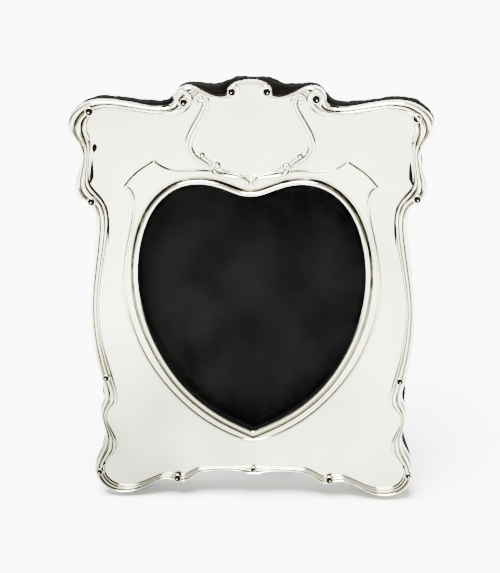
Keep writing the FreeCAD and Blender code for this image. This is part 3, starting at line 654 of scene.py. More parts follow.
@dataclass(frozen=True)
class PatternFinish:
    """A finish whose colour and relief follow patterns, and its gloss too where a range is given."""

    name: str
    dark: Colour
    light: Colour
    stops: tuple[float, float]
    colour: Pattern
    relief: tuple[tuple[Pattern, float, float], ...] = ()
    gloss: tuple[float, float] | None = None
    roughness: float = 0.5
    metallic: float = 0.0
    specular: float = 0.5
    sheen: float = 0.0
    sheen_roughness: float = 0.45
    sheen_tint: Colour = (0.35, 0.33, 0.32)

    def material(self) -> Material:
        """Make the finish.

        Returns:
            The node material.
        """
        shader = Shader(self.name)
        patterns = [self.colour] + [row[0] for row in self.relief]
        factors = {pattern: shader.noise(pattern) for pattern in dict.fromkeys(patterns)}
        base = factors[self.colour]
        shader.set(Base_Color=shader.ramp(base, self.stops, (self.dark, self.light)),
                   Roughness=shader.spread(base, *self.gloss) if self.gloss else self.roughness,
                   Metallic=self.metallic, Specular_IOR_Level=self.specular)
        if self.sheen:
            shader.set(Sheen_Weight=self.sheen, Sheen_Roughness=self.sheen_roughness,
                       Sheen_Tint=(*self.sheen_tint, 1.0))
        shader.bump([(factors[pattern], *depth) for pattern, *depth in self.relief])
        return shader.material


@dataclass(frozen=True)
class GlassFinish:
    """Thin clear old glass, faintly wavy."""

    tint: Colour = (0.006, 0.008, 0.007)
    body: float = 0.04
    specular: float = 0.3
    gloss: tuple[float, float] = (0.02, 0.06)
    haze: Pattern = Pattern(60.0, 2.0)
    waves: Pattern = Pattern(24.0, 2.0)
    wave_depth: tuple[float, float] = (0.05, 0.0002)

    def material(self) -> Material:
        """Make the glass.

        Returns:
            The node material.
        """
        shader = Shader("clear_old_glass")
        shader.set(Base_Color=(*self.tint, 1.0), Alpha=self.body, Specular_IOR_Level=self.specular,
                   Roughness=shader.spread(shader.noise(self.haze), *self.gloss))
        shader.bump([(shader.noise(self.waves), *self.wave_depth)])
        return shader.material


STAIN = Pattern(900.0, 5.0)
BRUSHED = Pattern(55.0, 5.0, 0.6)
PILE = Pattern(5200.0, 2.0, 0.7)
CLOUDS = Pattern(34.0, 7.0, 0.62)
THREADS = Pattern(1500.0, 2.0, 0.5, (1.0, 0.2, 0.2))
GRAIN = Pattern(420.0, 6.0, 0.6, (1.0, 0.06, 0.06))
HANDLING = Pattern(350.0, 6.0, 0.6)
LINES = Pattern(3200.0, 2.0, 0.5, (0.2, 1.0, 1.0))
RIBS = Pattern(2400.0, 1.0, 0.4, (0.1, 1.0, 1.0))
SHADING = Pattern(6.0, 3.0)
VELVET_RELIEF = ((BRUSHED, 0.5, 0.0004), (PILE, 0.7, 0.00015))


class Finishes:
    """Every finish, made once, under the name of its slot where it has one."""

    def __init__(self) -> None:
        """Make the node materials."""
        self.silver = SilverFinish().material()
        # Painted shade: near black pieces for the shaded hollows, the eyes' and beads' cups, and the screw
        # slots
        self.painted_shade = PatternFinish(
            "painted_shade_black", (0.0015, 0.0014, 0.0013), (0.006, 0.0055, 0.005), (0.4, 0.75), STAIN,
            ((STAIN, 0.3, 0.00005),), gloss=(0.6, 0.8), specular=0.0).material()
        # Aged black velvet: deep pile, brushed patches and a little dust
        self.velvet = PatternFinish(
            "aged_velvet", (0.0006, 0.0005, 0.0005), (0.0034, 0.0027, 0.0021), (0.42, 0.80), BRUSHED,
            VELVET_RELIEF, roughness=0.95, specular=0.03, sheen=0.003).material()
        # The same velvet painted darker as shade, for the opening's lining where no dust and little light
        # reach it
        self.lining = PatternFinish(
            "shaded_lining_velvet", (0.0004, 0.0004, 0.0004), (0.0014, 0.0013, 0.0013), (0.42, 0.80), BRUSHED,
            VELVET_RELIEF, roughness=0.95, specular=0.03, sheen=0.001).material()
        # Dark cloth faced card with a close weave and faint lighter clouds
        self.card = PatternFinish(
            "cloth_faced_card", (0.0009, 0.0009, 0.0010), (0.0044, 0.0036, 0.0037), (0.42, 0.68), CLOUDS,
            ((THREADS, 0.15, 0.00012),), roughness=0.95, specular=0.0).material()
        # Plain softwood with long grain
        self.wood = PatternFinish(
            "plain_softwood", (0.15, 0.085, 0.040), (0.30, 0.19, 0.10), (0.35, 0.65), GRAIN,
            ((GRAIN, 0.3, 0.0001),), gloss=(0.55, 0.75)).material()
        # Handled brass with brown stains and brushed lines
        self.brass = PatternFinish(
            "handled_brass", (0.08, 0.045, 0.013), (0.23, 0.145, 0.040), (0.35, 0.6), HANDLING,
            ((LINES, 0.12, 0.00004),), gloss=(0.42, 0.24), metallic=1.0).material()
        self.glass = GlassFinish().material()
        # Black silk ribbon with fine cross ribs
        self.ribbon = PatternFinish(
            "silk_ribbon", (0.0015, 0.0014, 0.0017), (0.0090, 0.0082, 0.0095), (0.35, 0.7), RIBS,
            ((RIBS, 0.5, 0.00008),), roughness=0.55, specular=0.12).material()
        # Matt pale paper that the frame stands on
        self.floor = PatternFinish(
            "pale_paper", (0.94, 0.94, 0.935), (0.955, 0.955, 0.95), (0.3, 0.7), SHADING,
            roughness=0.85).material()


@dataclass(frozen=True)
class Band:
    """One ring of a section: how far across, its height, its darkening by tarnish and painted shade, and
    whether it is sharp.
    """

    across: float
    height: float
    darkening: float = 0.0
    sharp: bool = False

    def lay(self, bm: Mesh, verts: Verts, ring: Row) -> Verts:
        """Pull the band's ring from the one before, and give it its darkening of tarnish and painted shade,
        and its line.

        Args:
            bm: the mesh.
            verts: the ring before, or an empty list.
            ring: the band's points, in millimetres.

        Returns:
            The band's verts.
        """
        verts = pull(bm, verts, ring)
        tarnish_and_shade(bm, verts, self.darkening)
        if self.sharp:
            crease(bm, verts)
        return verts


@dataclass
class SilverFacing:
    """The stamped sheet: turned edge, reeded border, field, raised ground and beaded rim."""

    finishes: Finishes
    plateau: float = 0.8
    valleys: tuple[float, ...] = (0.75, 0.75, 0.525)
    rises: tuple[float, ...] = (2.6, 2.0, 1.35)
    reeds: Shares = ((0.0, 0.36), (0.37, 0.69), (0.70, 0.90))
    # Darkening across each reed: tarnish in its valleys, and painted shade on its slopes, more on the side
    # nearer the field
    reed_darkening: tuple[float, ...] = (1.0, 0.60, 0.0, 0.0, 0.0, 0.30, 1.0, 1.0)
    reed_fullness: float = 0.8
    rim_bead: float = 2.5
    rim_groove: float = 2.1
    rim_foot: float = 0.35
    rim_rise: float = 1.75
    rim_fullness: float = 0.75
    rim_rows: int = 9
    ring_width: float = 2.0
    right_shade_share: float = 0.55
    ray_height: float = 20.0
    border_steps: int = 6
    ground_steps: int = 10
    heart_steps: int = 12
    surface: BVHTree | None = None

    # Places across are shares of the border's width, and of the beaded step's
    TURNED_EDGE = (Band(0.0, -SIZES.board_front, sharp=True), Band(0.0, -1.2), Band(0.0, 0.3))
    INNER_SLOPE = (Band(0.935, 0.20, 0.9), Band(0.965, 0.05, 0.8), Band(1.0, 0.0, sharp=True))
    # The darkening on the step's outer slope is painted shade
    STEP = (Band(0.05, 0.12, 1.0), Band(0.12, 0.55, 1.0), Band(0.24, 1.00, 1.0), Band(0.36, 1.32, 0.3),
            Band(0.52, 1.45), Band(0.70, 1.30), Band(0.84, 1.02, 0.5), Band(0.93, 0.86, 0.7))

    def reed(self, index: int) -> list[Band]:
        """Draw the half round section of one of the border's reeds.

        Args:
            index: which reed, from the edge inwards.

        Returns:
            Its bands.
        """
        start, end = self.reeds[index]
        low, high = self.valleys[index], self.rises[index]
        last = len(self.reed_darkening) - 1
        section = []
        for row, darkening in enumerate(self.reed_darkening):
            turn = math.pi * row / last
            across = (start + end) / 2 - (end - start) / 2 * math.cos(turn)
            height = low + (high - low) * math.sin(turn) ** self.reed_fullness
            section.append(Band(across, height, darkening, row in (0, last)))
        return section

    def border_section(self) -> list[Band]:
        """Draw the border's section.

        Returns:
            Its bands, whose places across are shares of the border's width.
        """
        reeds = [band for index in range(len(self.reeds)) for band in self.reed(index)]
        reeds[0] = Band(reeds[0].across, reeds[0].height)
        return [*self.TURNED_EDGE, *reeds, *self.INNER_SLOPE]

    def rim_section(self) -> list[Band]:
        """Draw the heart's rim from its outer foot to the sheet's lip.

        Returns:
            Its bands, whose places across are millimetres out from the opening.
        """
        total, bead, foot = self.rim_bead + self.rim_groove, self.rim_bead, self.rim_foot
        section = [Band(total - 0.25, 0.95), Band(total - 0.55, 1.0), Band(total - 0.85, 0.85, 1.0),
                   Band(bead + 0.35, foot, 1.0), Band(bead + 0.12, 0.25, 1.0), Band(bead, foot, 1.0, True)]
        for row in range(1, self.rim_rows):
            turn = math.pi * row / self.rim_rows
            height = foot + self.rim_rise * math.sin(turn) ** self.rim_fullness
            section.append(Band(bead * (0.5 + 0.5 * math.cos(turn)), height))
        return section + [Band(0.0, 0.45, sharp=True), Band(0.0, 0.0), Band(0.0, -SIZES.silver_gauge)]

    def height_at(self, x: float, y: float) -> float:
        """Return the sheet's height above the field at a place of the face, in millimetres."""
        hit = self.surface.ray_cast(Vector((x, y, self.ray_height)) * MM, Vector((0, 0, -1)))
        return hit[0].z / MM if hit[0] else 0.0

    def heart_ring(self, distance: float = 0.0) -> Row:
        """Return the heart's outline, widened by a distance."""
        return full_ring([offset(heart_points(HEART_SHARES), distance)], self.heart_steps)

    def ground_ring(self, inset: float = 0.0) -> Row:
        """Draw in the raised ground as one line, and part it at its corners again.

        Args:
            inset: how far it is drawn in.

        Returns:
            Its ring.
        """
        runs = [heart_points(run) for run in SURROUND_SHARES]
        moved = offset(runs[0] + [point for run in runs[1:] for point in run[1:]], -inset)
        parted = []
        start = 0
        for run in runs:
            parted.append(moved[start:start + len(run)])
            start += len(run) - 1
        return full_ring(parted, self.ground_steps)

    def raised_ground(self, bm: Mesh) -> Verts:
        """Build the beaded step, the plateau and the rim.

        Args:
            bm: the sheet's mesh.

        Returns:
            The ring at the step's foot, up to which the field is filled.
        """
        foot = pull(bm, [], self.ground_ring())
        crease(bm, foot)
        verts = foot
        for band in (*self.STEP, Band(1.0, self.plateau)):
            ring = self.ground_ring(self.ring_width * band.across)
            verts = band.lay(bm, verts, at_height(ring, band.height))
            # Painted shade: the right half of the step is darkened less than the left, as the light falls
            # differently on it
            tarnish_and_shade(bm, [vert for vert in verts if vert.co.x > 0], band.darkening * self.right_shade_share)
        crease(bm, verts)
        rim = pull(bm, [], at_height(self.heart_ring(self.rim_bead + self.rim_groove), self.plateau))
        crease(bm, rim)
        fill(bm, verts, rim)
        for band in self.rim_section():
            rim = band.lay(bm, rim, at_height(self.heart_ring(band.across), band.height))
        return foot

    def close_back(self, bm: Mesh, edge: Row, field: Row) -> None:
        """Build the sheet's hidden back and the inside of its turned edge.

        Args:
            bm: the sheet's mesh.
            edge: the outline's ring.
            field: the ring of the field's own outline.
        """
        inner = [outer + (middle - outer).normalized() * SIZES.silver_gauge
                 for outer, middle in zip(edge, field)]
        verts = pull(bm, [], at_height(edge, -SIZES.board_front))
        for depth in (SIZES.board_front, SIZES.silver_gauge):
            verts = pull(bm, verts, at_height(inner, -depth))
            crease(bm, verts)
        hole = pull(bm, [], at_height(self.heart_ring(), -SIZES.silver_gauge))
        crease(bm, hole)
        fill(bm, verts, hole, -1.0)

    def build(self) -> None:
        """Build the sheet from its turned edge to the heart's lip, and hide its plain solid."""
        edge = full_ring([share_points([row[:2] for row in BORDER_SHARES])], self.border_steps)
        field = full_ring([share_points([row[2:] for row in BORDER_SHARES])], self.border_steps)
        bm = fresh_mesh()
        verts: Verts = []
        for band in self.border_section():
            up = Vector((0, 0, band.height))
            ring = [outer.lerp(inner, band.across) + up for outer, inner in zip(edge, field)]
            verts = band.lay(bm, verts, ring)
        fill(bm, verts, self.raised_ground(bm))
        self.close_back(bm, edge, field)
        self.surface = BVHTree.FromBMesh(bm)
        sheet = stand_up(bm, "silver_sheet", Body.FRAME, self.finishes.silver)
        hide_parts("silver_facing")


@dataclass(frozen=True)
class Strand:
    """One raised strand: its middle line on the right half, and its widths from end to end."""

    name: str
    points: Shares
    widths: tuple[float, ...]
    rise: float = 1.4
    groove: float = 0.0
    halves: tuple[int, ...] = (1, -1)

    def width_at(self, share: float) -> float:
        """Find the width between two of the given ones.

        Args:
            share: how far along the strand, from 0 to 1.

        Returns:
            The width.
        """
        spot = share * (len(self.widths) - 1)
        lower = min(int(spot), len(self.widths) - 2)
        part = spot - lower
        return self.widths[lower] * (1 - part) + self.widths[lower + 1] * part


@dataclass
class Scrollwork:
    """The strands of the cartouche and of the scrolls, and the beads in their eyes."""

    finishes: Finishes
    facing: SilverFacing
    root: float = 0.35
    sides: int = 10
    fullness: float = 0.75
    groove_width: float = 0.22
    groove_darkening: float = 0.8
    tip_share: float = 0.35
    tip_growth: float = 0.3
    thin_share: float = 0.55
    full_width: float = 4.0
    bed_reach: int = 3
    bed_share: float = 0.8
    volute_from: float = 1.75
    volute_rise: float = 0.7
    bead_seat: float = 1.1
    pearl_shift: tuple[float, float] = (0.3, -0.5)
    steps: int = 7
    spin_steps: int = 24

    # Middle lines on the right half, in millimetres on the face, then widths, rise and groove
    STRANDS = (
        Strand("cartouche_side", (
            (24.8, 205.2), (26.4, 204.2), (27.5, 205.8), (26.6, 208.0), (24.0, 208.9), (21.7, 207.3),
            (21.4, 204.3), (23.2, 199.8), (26.4, 194.4), (29.8, 188.2), (30.9, 184.0), (29.9, 179.6),
            (27.2, 176.4), (23.6, 174.6), (20.6, 172.6)), (1.2, 2.6, 3.7, 4.1, 3.8, 2.2), 1.9, 0.45),
        Strand("cartouche_hook", (
            (29.0, 180.4), (27.2, 178.8), (25.0, 179.2), (24.6, 180.6)), (1.0, 1.3, 0.8), 1.0),
        Strand("cartouche_link", (
            (25.4, 179.0), (22.4, 177.0), (19.6, 174.4), (18.2, 173.4)), (0.9, 1.1, 1.0), 1.0),
        Strand("cartouche_foot", (
            (16.2, 172.6), (17.6, 173.9), (19.2, 173.0), (19.2, 170.6), (16.8, 168.4), (12.0, 167.3),
            (7.0, 167.0), (3.6, 166.4), (2.2, 165.2), (2.4, 163.8)),
            (1.4, 2.6, 3.2, 2.5, 1.5), 2.0, 0.35),
        Strand("cartouche_foot_inner", (
            (14.4, 173.6), (15.0, 171.6), (12.6, 169.8), (8.0, 168.8), (4.0, 168.2)),
            (0.9, 1.3, 0.8), 1.0),
        Strand("crest_loop", (
            (24.2, 208.6), (19.4, 208.0), (14.4, 206.9), (9.6, 206.8), (6.2, 208.6), (5.3, 211.6),
            (6.9, 214.0), (9.4, 213.6)), (0.9, 1.3, 1.9, 1.9, 1.1), 1.5),
        Strand("volute_outer", (
            (45.0, 199.4), (39.0, 199.7), (33.6, 201.3), (29.9, 204.6), (29.2, 208.0), (31.2, 210.8),
            (34.4, 210.8), (36.4, 208.4), (35.8, 205.4), (33.6, 204.0)),
            (1.2, 2.2, 2.5, 2.2, 1.3), 2.4, 0.3),
        Strand("corner_outer", (
            (76.0, 201.2), (81.6, 199.6), (84.6, 196.0), (85.0, 191.4), (83.6, 186.6), (82.4, 182.6)),
            (0.8, 1.7, 1.9, 1.3, 0.7), 1.9),
        Strand("corner_inner", (
            (80.0, 198.0), (82.0, 195.4), (82.3, 191.6), (80.8, 187.6), (79.4, 185.4)),
            (0.6, 1.5, 1.6, 1.0), 1.5),
    )
    # Eyes and beads: across, up and radius, in millimetres on the face
    EYES = (
        (-32.3, 205.2, 2.0), (32.8, 207.2, 2.0), (-8.6, 210.8, 1.9), (8.6, 210.8, 1.9),
        (-79.3, 200.6, 1.9), (82.0, 197.8, 1.9), (-79.4, 155.0, 1.8), (82.6, 157.2, 1.8),
        (-74.6, 62.3, 1.6), (74.6, 62.3, 1.6), (-79.2, 11.6, 1.4), (79.2, 11.6, 1.4),
        (-39.0, 8.8, 1.7), (39.0, 8.8, 1.7), (0.0, 13.6, 1.3),
    )
    BEADS = (
        (-24.0, 206.7, 1.5), (25.0, 205.9, 1.5), (-16.4, 173.2, 1.2), (17.3, 172.7, 1.2),
        (-23.8, 178.2, 0.9), (24.6, 177.8, 0.9), (-1.5, 164.6, 0.9), (1.9, 164.6, 0.9),
    )
    # Dark strips of painted shade in the hollows between the scrolls
    HOLLOWS = (
        Strand("corner_wedge", ((77.2, 183.8), (77.5, 181.8), (78.0, 179.0)), (1.8, 2.8, 0.5), 0.6,
               halves=(-1,)),
        Strand("corner_slot", ((78.8, 176.2), (79.1, 171.0), (79.2, 167.0), (80.2, 163.4)),
               (0.5, 1.6, 2.2, 0.6), 0.6),
        Strand("side_slot", ((72.3, 153.0), (71.4, 146.0), (71.5, 138.0), (72.4, 131.0)),
               (0.3, 0.9, 0.9, 0.3), 0.5),
        Strand("crest_hollow", ((12.2, 210.4), (16.0, 209.8), (20.6, 210.6)), (0.5, 1.7, 0.5), 0.5),
        Strand("volute_hollow", ((38.6, 203.8), (41.6, 202.6), (45.6, 202.2)), (0.4, 1.5, 0.4), 0.5),
        Strand("foot_hollow", ((75.8, 17.4), (77.4, 15.0), (79.6, 14.6)), (0.4, 1.3, 0.4), 0.5),
        Strand("foot_slot", ((73.4, 57.6), (72.4, 53.4), (73.0, 49.4)), (0.4, 1.1, 0.4), 0.5),
    )
    # Sections of what is spun: share of the radius, millimetres added to it, height above the seat
    EYE_RING = ((1.0, 0.55, -1.9), (1.0, 0.45, 0.1), (1.0, 0.2, 0.5), (1.0, 0.0, 0.6), (1.0, -0.15, 0.35))
    EYE_PEARL = ((0.0, 0.40, 0.0), (0.0, 0.38, 0.5), (0.0, 0.24, 0.68), (0.0, 0.0, 0.72))
    # The cups are painted shade: dark rings sunk in the eyes and round the beads
    EYE_CUP = ((1.0, -0.02, 0.58), (1.0, -0.3, 0.46), (1.0, -0.8, 0.40), (0.0, 0.0, 0.38))
    BEAD = ((1.0, 0.0, -0.6), (0.97, 0.0, 0.3), (0.75, 0.0, 0.75), (0.4, 0.0, 0.98), (0.0, 0.0, 1.05))
    BEAD_CUP = ((1.0, 0.35, -0.6), (1.0, 0.3, 0.18), (1.0, -0.05, 0.25))

    def section(self, width: float, rise: float, groove: float) -> Profile:
        """Return the half round section of a strand as (across, height) pairs.

        Args:
            width: the strand's width.
            rise: its height.
            groove: how deep the line along its crown is cut, as a share of the height.

        Returns:
            The closed section, crown first.
        """
        half = width / 2
        crown = []
        for step in range(self.sides + 1):
            turn = math.pi * step / self.sides
            cut = 1 - groove * math.exp(-(math.cos(turn) / self.groove_width) ** 2)
            crown.append((-half * math.cos(turn), rise * math.sin(turn) ** self.fullness * cut))
        return crown + [(half, -self.root), (-half, -self.root)]

    def rings(self, strand: Strand, half: int) -> list[Row]:
        """Return the strand's rings, seated on the sheet and thinner towards both tips.

        Args:
            strand: the strand.
            half: 1 for the right half, -1 for the left.

        Returns:
            One ring for each point of its line.
        """
        line = smooth_line([Vector((x * half, y, 0)) for x, y in strand.points], self.steps)
        last = len(line) - 1
        ground = [self.facing.height_at(point.x, point.y) for point in line]
        rings = []
        for index, point in enumerate(line):
            along = heading(line, index)
            across = Vector((-along.y, along.x, 0))
            width = strand.width_at(index / last)
            taper = min(1.0, self.tip_share + self.tip_growth * min(index, last - index))
            rise = strand.rise * taper * min(1.0, self.thin_share + width / self.full_width)
            near = ground[max(index - self.bed_reach, 0):index + self.bed_reach + 1]
            base = sum(near) / len(near) * self.bed_share
            rings.append([point + across * (shift * taper)
                          + Vector((0, 0, height if height < 0 else base + height))
                          for shift, height in self.section(width, rise, strand.groove)])
        return rings

    def sweep(self, bm: Mesh, strands: tuple[Strand, ...]) -> None:
        """Draw strands, darkened at both feet and in the crown's groove by tarnish and painted shade.

        Args:
            bm: the mesh that takes them.
            strands: the strands.
        """
        last = self.sides
        feet = ((1.0, (0, 1, last - 1, last, last + 1, last + 2)), (0.6, (2, last - 2)))
        for strand in strands:
            for half in strand.halves:
                for verts in tube(bm, self.rings(strand, half)):
                    # Darkening at the feet and along the groove: tarnish and painted shade
                    for darkening, places in feet:
                        tarnish_and_shade(bm, [verts[index] for index in places], darkening)
                    tarnish_and_shade(bm, [verts[last // 2]], self.groove_darkening if strand.groove else 0.0)
            log.info("strand %s", strand.name)

    def spun(self, bm: Mesh, section: SpunRows, seat: Vector, radius: float = 0.0) -> None:
        """Spin a section about the upright line through its seat.

        Args:
            bm: the mesh that takes the piece.
            section: rows of radius share, added radius and height.
            seat: the middle of its foot, in millimetres.
            radius: the radius that the shares are of.
        """
        verts = [bm.verts.new((seat + Vector((share * radius + added, 0, height))) * MM)
                 for share, added, height in section]
        edges = [bm.edges.new(pair) for pair in zip(verts, verts[1:])]
        bmesh.ops.spin(bm, geom=verts + edges, cent=seat * MM, axis=(0, 0, 1), angle=2 * math.pi,
                       steps=self.spin_steps, use_merge=True, use_duplicate=False)

    def eye_seat(self, x: float, y: float, radius: float) -> Vector:
        """Find the highest ground under an eye, and seat a volute's above it.

        Args:
            x: the eye's place across.
            y: its place up.
            radius: its radius.

        Returns:
            The seat.
        """
        around = ((0, 0), (radius, 0), (-radius, 0), (0, radius), (0, -radius))
        base = max(self.facing.height_at(x + dx, y + dy) for dx, dy in around)
        return Vector((x, y, base + (self.volute_rise if radius > self.volute_from else 0.0)))

    def build(self) -> None:
        """Build the strands, the eyes and the small ornaments of both halves."""
        bm = fresh_mesh()
        self.sweep(bm, self.STRANDS)
        # The hollows and the cups are dark pieces of painted shade
        shade_pieces = fresh_mesh()
        self.sweep(shade_pieces, self.HOLLOWS)
        for x, y, radius in self.EYES:
            seat = self.eye_seat(x, y, radius)
            shift, drop = self.pearl_shift
            self.spun(bm, self.EYE_RING, seat, radius)
            self.spun(bm, self.EYE_PEARL, seat + Vector((math.copysign(shift, x), drop, 0)))
            self.spun(shade_pieces, self.EYE_CUP, seat, radius)
        for x, y, radius in self.BEADS:
            seat = Vector((x, y, self.facing.height_at(x, y) + self.bead_seat))
            self.spun(bm, self.BEAD, seat, radius)
            self.spun(shade_pieces, self.BEAD_CUP, seat, radius)
        stand_up(bm, "scrollwork", Body.FRAME, self.finishes.silver)
        stand_up(shade_pieces, "scroll_painted_shade", Body.FRAME, self.finishes.painted_shade)


@dataclass
class VelvetBoard:
    """The velvet that covers the board: a thin skin with a soft, lumpy old edge."""

    finishes: Finishes
    gauge: float = 0.5
    arch_half: float = 63.0
    arch_foot: float = 29.0
    arch_spring: float = 140.0
    arch_crown: float = 176.0
    arch_steps: int = 60
    lump: float = 0.7
    lump_scale: tuple[float, float, float] = (0.16, 0.16, 0.22)
    proud: float = 1.5
    proud_from: float = 172.0
    proud_to: float = 192.0
    front_reach: float = 9.0
    back_reach: float = 4.0
    inside: float = 0.9
    wall_rows: int = 6
    wall_start: float = 1.6
    wall_pitch: float = 1.25
    steps: int = 8

    # Finer lumps: how much finer, and their share of the push
    LUMPS = ((1.0, 1.0), (3.1, 0.5), (8.3, 0.4))
    # Rows round the front edge and the back edge: inset, depth from that face, share of the lumps
    FRONT_EDGE = ((1.2, 0.0, 0.2), (0.5, 0.12, 0.6), (0.1, 0.6, 1.0))
    BACK_EDGE = ((0.1, 0.9, 0.8), (0.5, 0.3, 0.4), (1.3, 0.02, 0.1))

    def arch(self) -> Row:
        """Draw the rebate's arched outline.

        Returns:
            The closed ring.
        """
        half = self.arch_half
        rise = self.arch_crown - self.arch_spring
        radius = (half * half + rise * rise) / (2 * rise)
        centre = self.arch_crown - radius
        sweep = math.asin(half / radius)
        turns = [-sweep + 2 * sweep * step / self.arch_steps for step in range(self.arch_steps + 1)]
        ring = [Vector((radius * math.sin(turn), centre + radius * math.cos(turn), 0)) for turn in turns]
        return ring + [Vector((half, self.arch_foot, 0)), Vector((-half, self.arch_foot, 0))]

    def outline(self, inset: float) -> Row:
        """Return the board's outline, drawn in by an inset."""
        return full_ring([offset(share_points(BOARD_SHARES), -inset)], self.steps)

    def lumpy(self, ring: Row, depth: float, share: float) -> Row:
        """Push a ring in and out as old padding does.

        Args:
            ring: the ring, in millimetres.
            depth: how far behind the field it lies.
            share: how much of the lump it shows.

        Returns:
            The uneven ring.
        """
        result = []
        centre = Vector((0.0, SIZES.height / 2, 0.0))
        for point in ring:
            spot = Vector((point.x, point.y, depth)) * Vector(self.lump_scale)
            push = self.lump * sum(noise.noise(spot * finer) * part for finer, part in self.LUMPS)
            up = (point.y - self.proud_from) / (self.proud_to - self.proud_from)
            push += self.proud * min(max(up, 0.0), 1.0)
            outward = (point - centre).normalized()
            result.append(Vector((point.x, point.y, -depth)) + outward * push * share)
        return result

    def build(self) -> None:
        """Build the skin and hide the plain solid."""
        front, back = SIZES.board_front, SIZES.board_back
        wall = front + self.wall_start
        rows = [(self.front_reach, front, 0.0)]
        rows += [(inset, front + depth, share) for inset, depth, share in self.FRONT_EDGE]
        rows += [(0.0, wall + self.wall_pitch * row, 1.0) for row in range(self.wall_rows)]
        rows += [(inset, back - depth, share) for inset, depth, share in self.BACK_EDGE]
        rows += [(self.back_reach, back, 0.0)]
        bm = fresh_mesh()
        verts: Verts = []
        for inset, depth, share in rows:
            verts = pull(bm, verts, self.lumpy(self.outline(inset), depth, share))
        crease(bm, verts)
        hole = pull(bm, [], at_height(self.arch(), -back))
        crease(bm, hole)
        fill(bm, verts, hole, -1.0)
        hole = pull(bm, hole, at_height(self.arch(), -back + self.gauge))
        under = pull(bm, [], at_height(self.outline(self.back_reach), -back + self.gauge))
        fill(bm, under, hole)
        for inset, depth in ((self.inside, back - self.gauge), (self.inside, front + self.gauge),
                             (self.front_reach, front + self.gauge), (self.front_reach, front)):
            under = pull(bm, under, at_height(self.outline(inset), -depth))
        skin = stand_up(bm, "velvet_skin", Body.FRAME, self.finishes.velvet)
        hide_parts("velvet_cover")


@dataclass
class SoftPieces:
    """The covered panel, the covered strut, the lining of the opening and the silk stay."""

    finishes: Finishes
    roll: float = 0.22
    corner_angle: float = 0.7
    lump: float = 0.12
    lump_scale: float = 140.0
    finer: float = 2.7
    longest: float = 4.0
    rounds: int = 4
    roll_segments: int = 3
    flat_angle: float = 1.0
    stay_up: float = 52.0
    stay_tab: float = 8.0
    stay_half: float = 4.0
    stay_hem: float = 1.0
    stay_gauge: float = 0.12
    stay_fold: float = 0.26
    stay_bow: float = 2.0
    stay_turn: float = 0.2
    stay_hem_rise: float = 0.9
    stay_steps: int = 6

    def covered(self, node: str, name: str, body: Body, material: Material) -> None:
        """Make a soft skin from a plain solid: rolled edges and a slightly uneven surface.

        Args:
            node: the plain solid's node.
            name: the new piece's name.
            body: the body it rides on.
            material: its finish.
        """
        bm = node_mesh(node)
        bmesh.ops.remove_doubles(bm, verts=bm.verts, dist=MERGE_DISTANCE * MM)
        bmesh.ops.dissolve_limit(bm, angle_limit=math.radians(self.flat_angle),
                                verts=bm.verts, edges=bm.edges)
        corners = [edge for edge in bm.edges
                   if edge.is_manifold and edge.calc_face_angle(0) > self.corner_angle]
        bmesh.ops.bevel(bm, geom=corners, offset=self.roll * MM, segments=self.roll_segments,
                        affect="EDGES", profile=0.5, clamp_overlap=True)
        bmesh.ops.triangulate(bm, faces=bm.faces)
        for _ in range(self.rounds):
            long_edges = [edge for edge in bm.edges if edge.calc_length() > self.longest * MM]
            if not long_edges:
                break
            bmesh.ops.subdivide_edges(bm, edges=long_edges, cuts=1)
            bmesh.ops.triangulate(bm, faces=bm.faces)
        bm.normal_update()
        for vert in bm.verts:
            spot = vert.co * self.lump_scale
            push = noise.noise(spot) + 0.5 * noise.noise(spot * self.finer)
            vert.co += vert.normal * push * self.lump * MM
        bmesh.ops.transform(bm, matrix=PLANE.matrix.inverted(), verts=bm.verts)
        piece = stand_up(bm, name, body, material)
        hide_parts(node)

    def stay_line(self) -> Row:
        """Draw the stay from its tab on the panel, over the bow, to the strut's.

        Returns:
            The line's points, in millimetres.
        """
        hinge = Vector((0.0, SIZES.hinge_up, -SIZES.hinge_depth))
        swing = Matrix.Rotation(math.radians(SIZES.open_angle), 4, "X")
        tab = Vector((0, self.stay_tab, 0))
        bow = Vector((0, self.stay_bow, 0))
        panel_low = Vector((0, self.stay_up, -SIZES.board_back - self.stay_fold))
        panel_top = panel_low + tab
        strut_face = Vector((0, self.stay_up, -SIZES.strut_front + self.stay_fold))
        strut_low = hinge + swing @ (strut_face - hinge)
        strut_end = hinge + swing @ (strut_face - tab - hinge)
        middle = (panel_low + strut_low) / 2 - bow
        line = [panel_top, panel_low.lerp(panel_top, self.stay_turn), panel_low,
                (panel_low + middle) / 2 - bow / 4, middle, (middle + strut_low) / 2 - bow / 4,
                strut_low, strut_low.lerp(strut_end, self.stay_turn), strut_end]
        return smooth_line(line, self.stay_steps)

    def stay(self) -> None:
        """Weave the stay: a strip with both hems folded under, tacked at its two ends."""
        half, hem, gauge = self.stay_half, self.stay_hem, self.stay_gauge
        fold = gauge * self.stay_hem_rise
        section = [(-half + hem, 0.0), (-half + hem, fold), (-half, fold), (-half, -gauge),
                   (half, -gauge), (half, fold), (half - hem, fold), (half - hem, 0.0)]
        line = self.stay_line()
        rings = []
        for index, point in enumerate(line):
            along = heading(line, index)
            out = Vector((0, -along.z, along.y))
            rings.append([point + Vector((across, 0, 0)) + out * height for across, height in section])
        bm = fresh_mesh()
        tube(bm, rings)
        piece = stand_up(bm, "silk_stay", None, self.finishes.ribbon)
        for polygon in piece.data.polygons:
            polygon.use_smooth = False
        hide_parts("stay_ribbon")
        # Each tab is the first or the last two spans of six points, so the bend starts at point 12
        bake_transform(piece, Body.FRAME.value, Body.STRUT.value, start=PLANE.at(*line[12]),
                 end=PLANE.at(*line[-13]))

    def build(self) -> None:
        """Build the covered pieces, the lining and the stay."""
        velvet, lining = self.finishes.velvet, self.finishes.lining
        self.covered("easel_panel_velvet", "panel_cover", Body.FRAME, velvet)
        self.covered("strut_velvet", "strut_cover", Body.STRUT, velvet)
        # The opening's lining gets the darker velvet copy: painted shade
        self.covered("aperture_lining", "opening_lining", Body.FRAME, lining)
        self.stay()


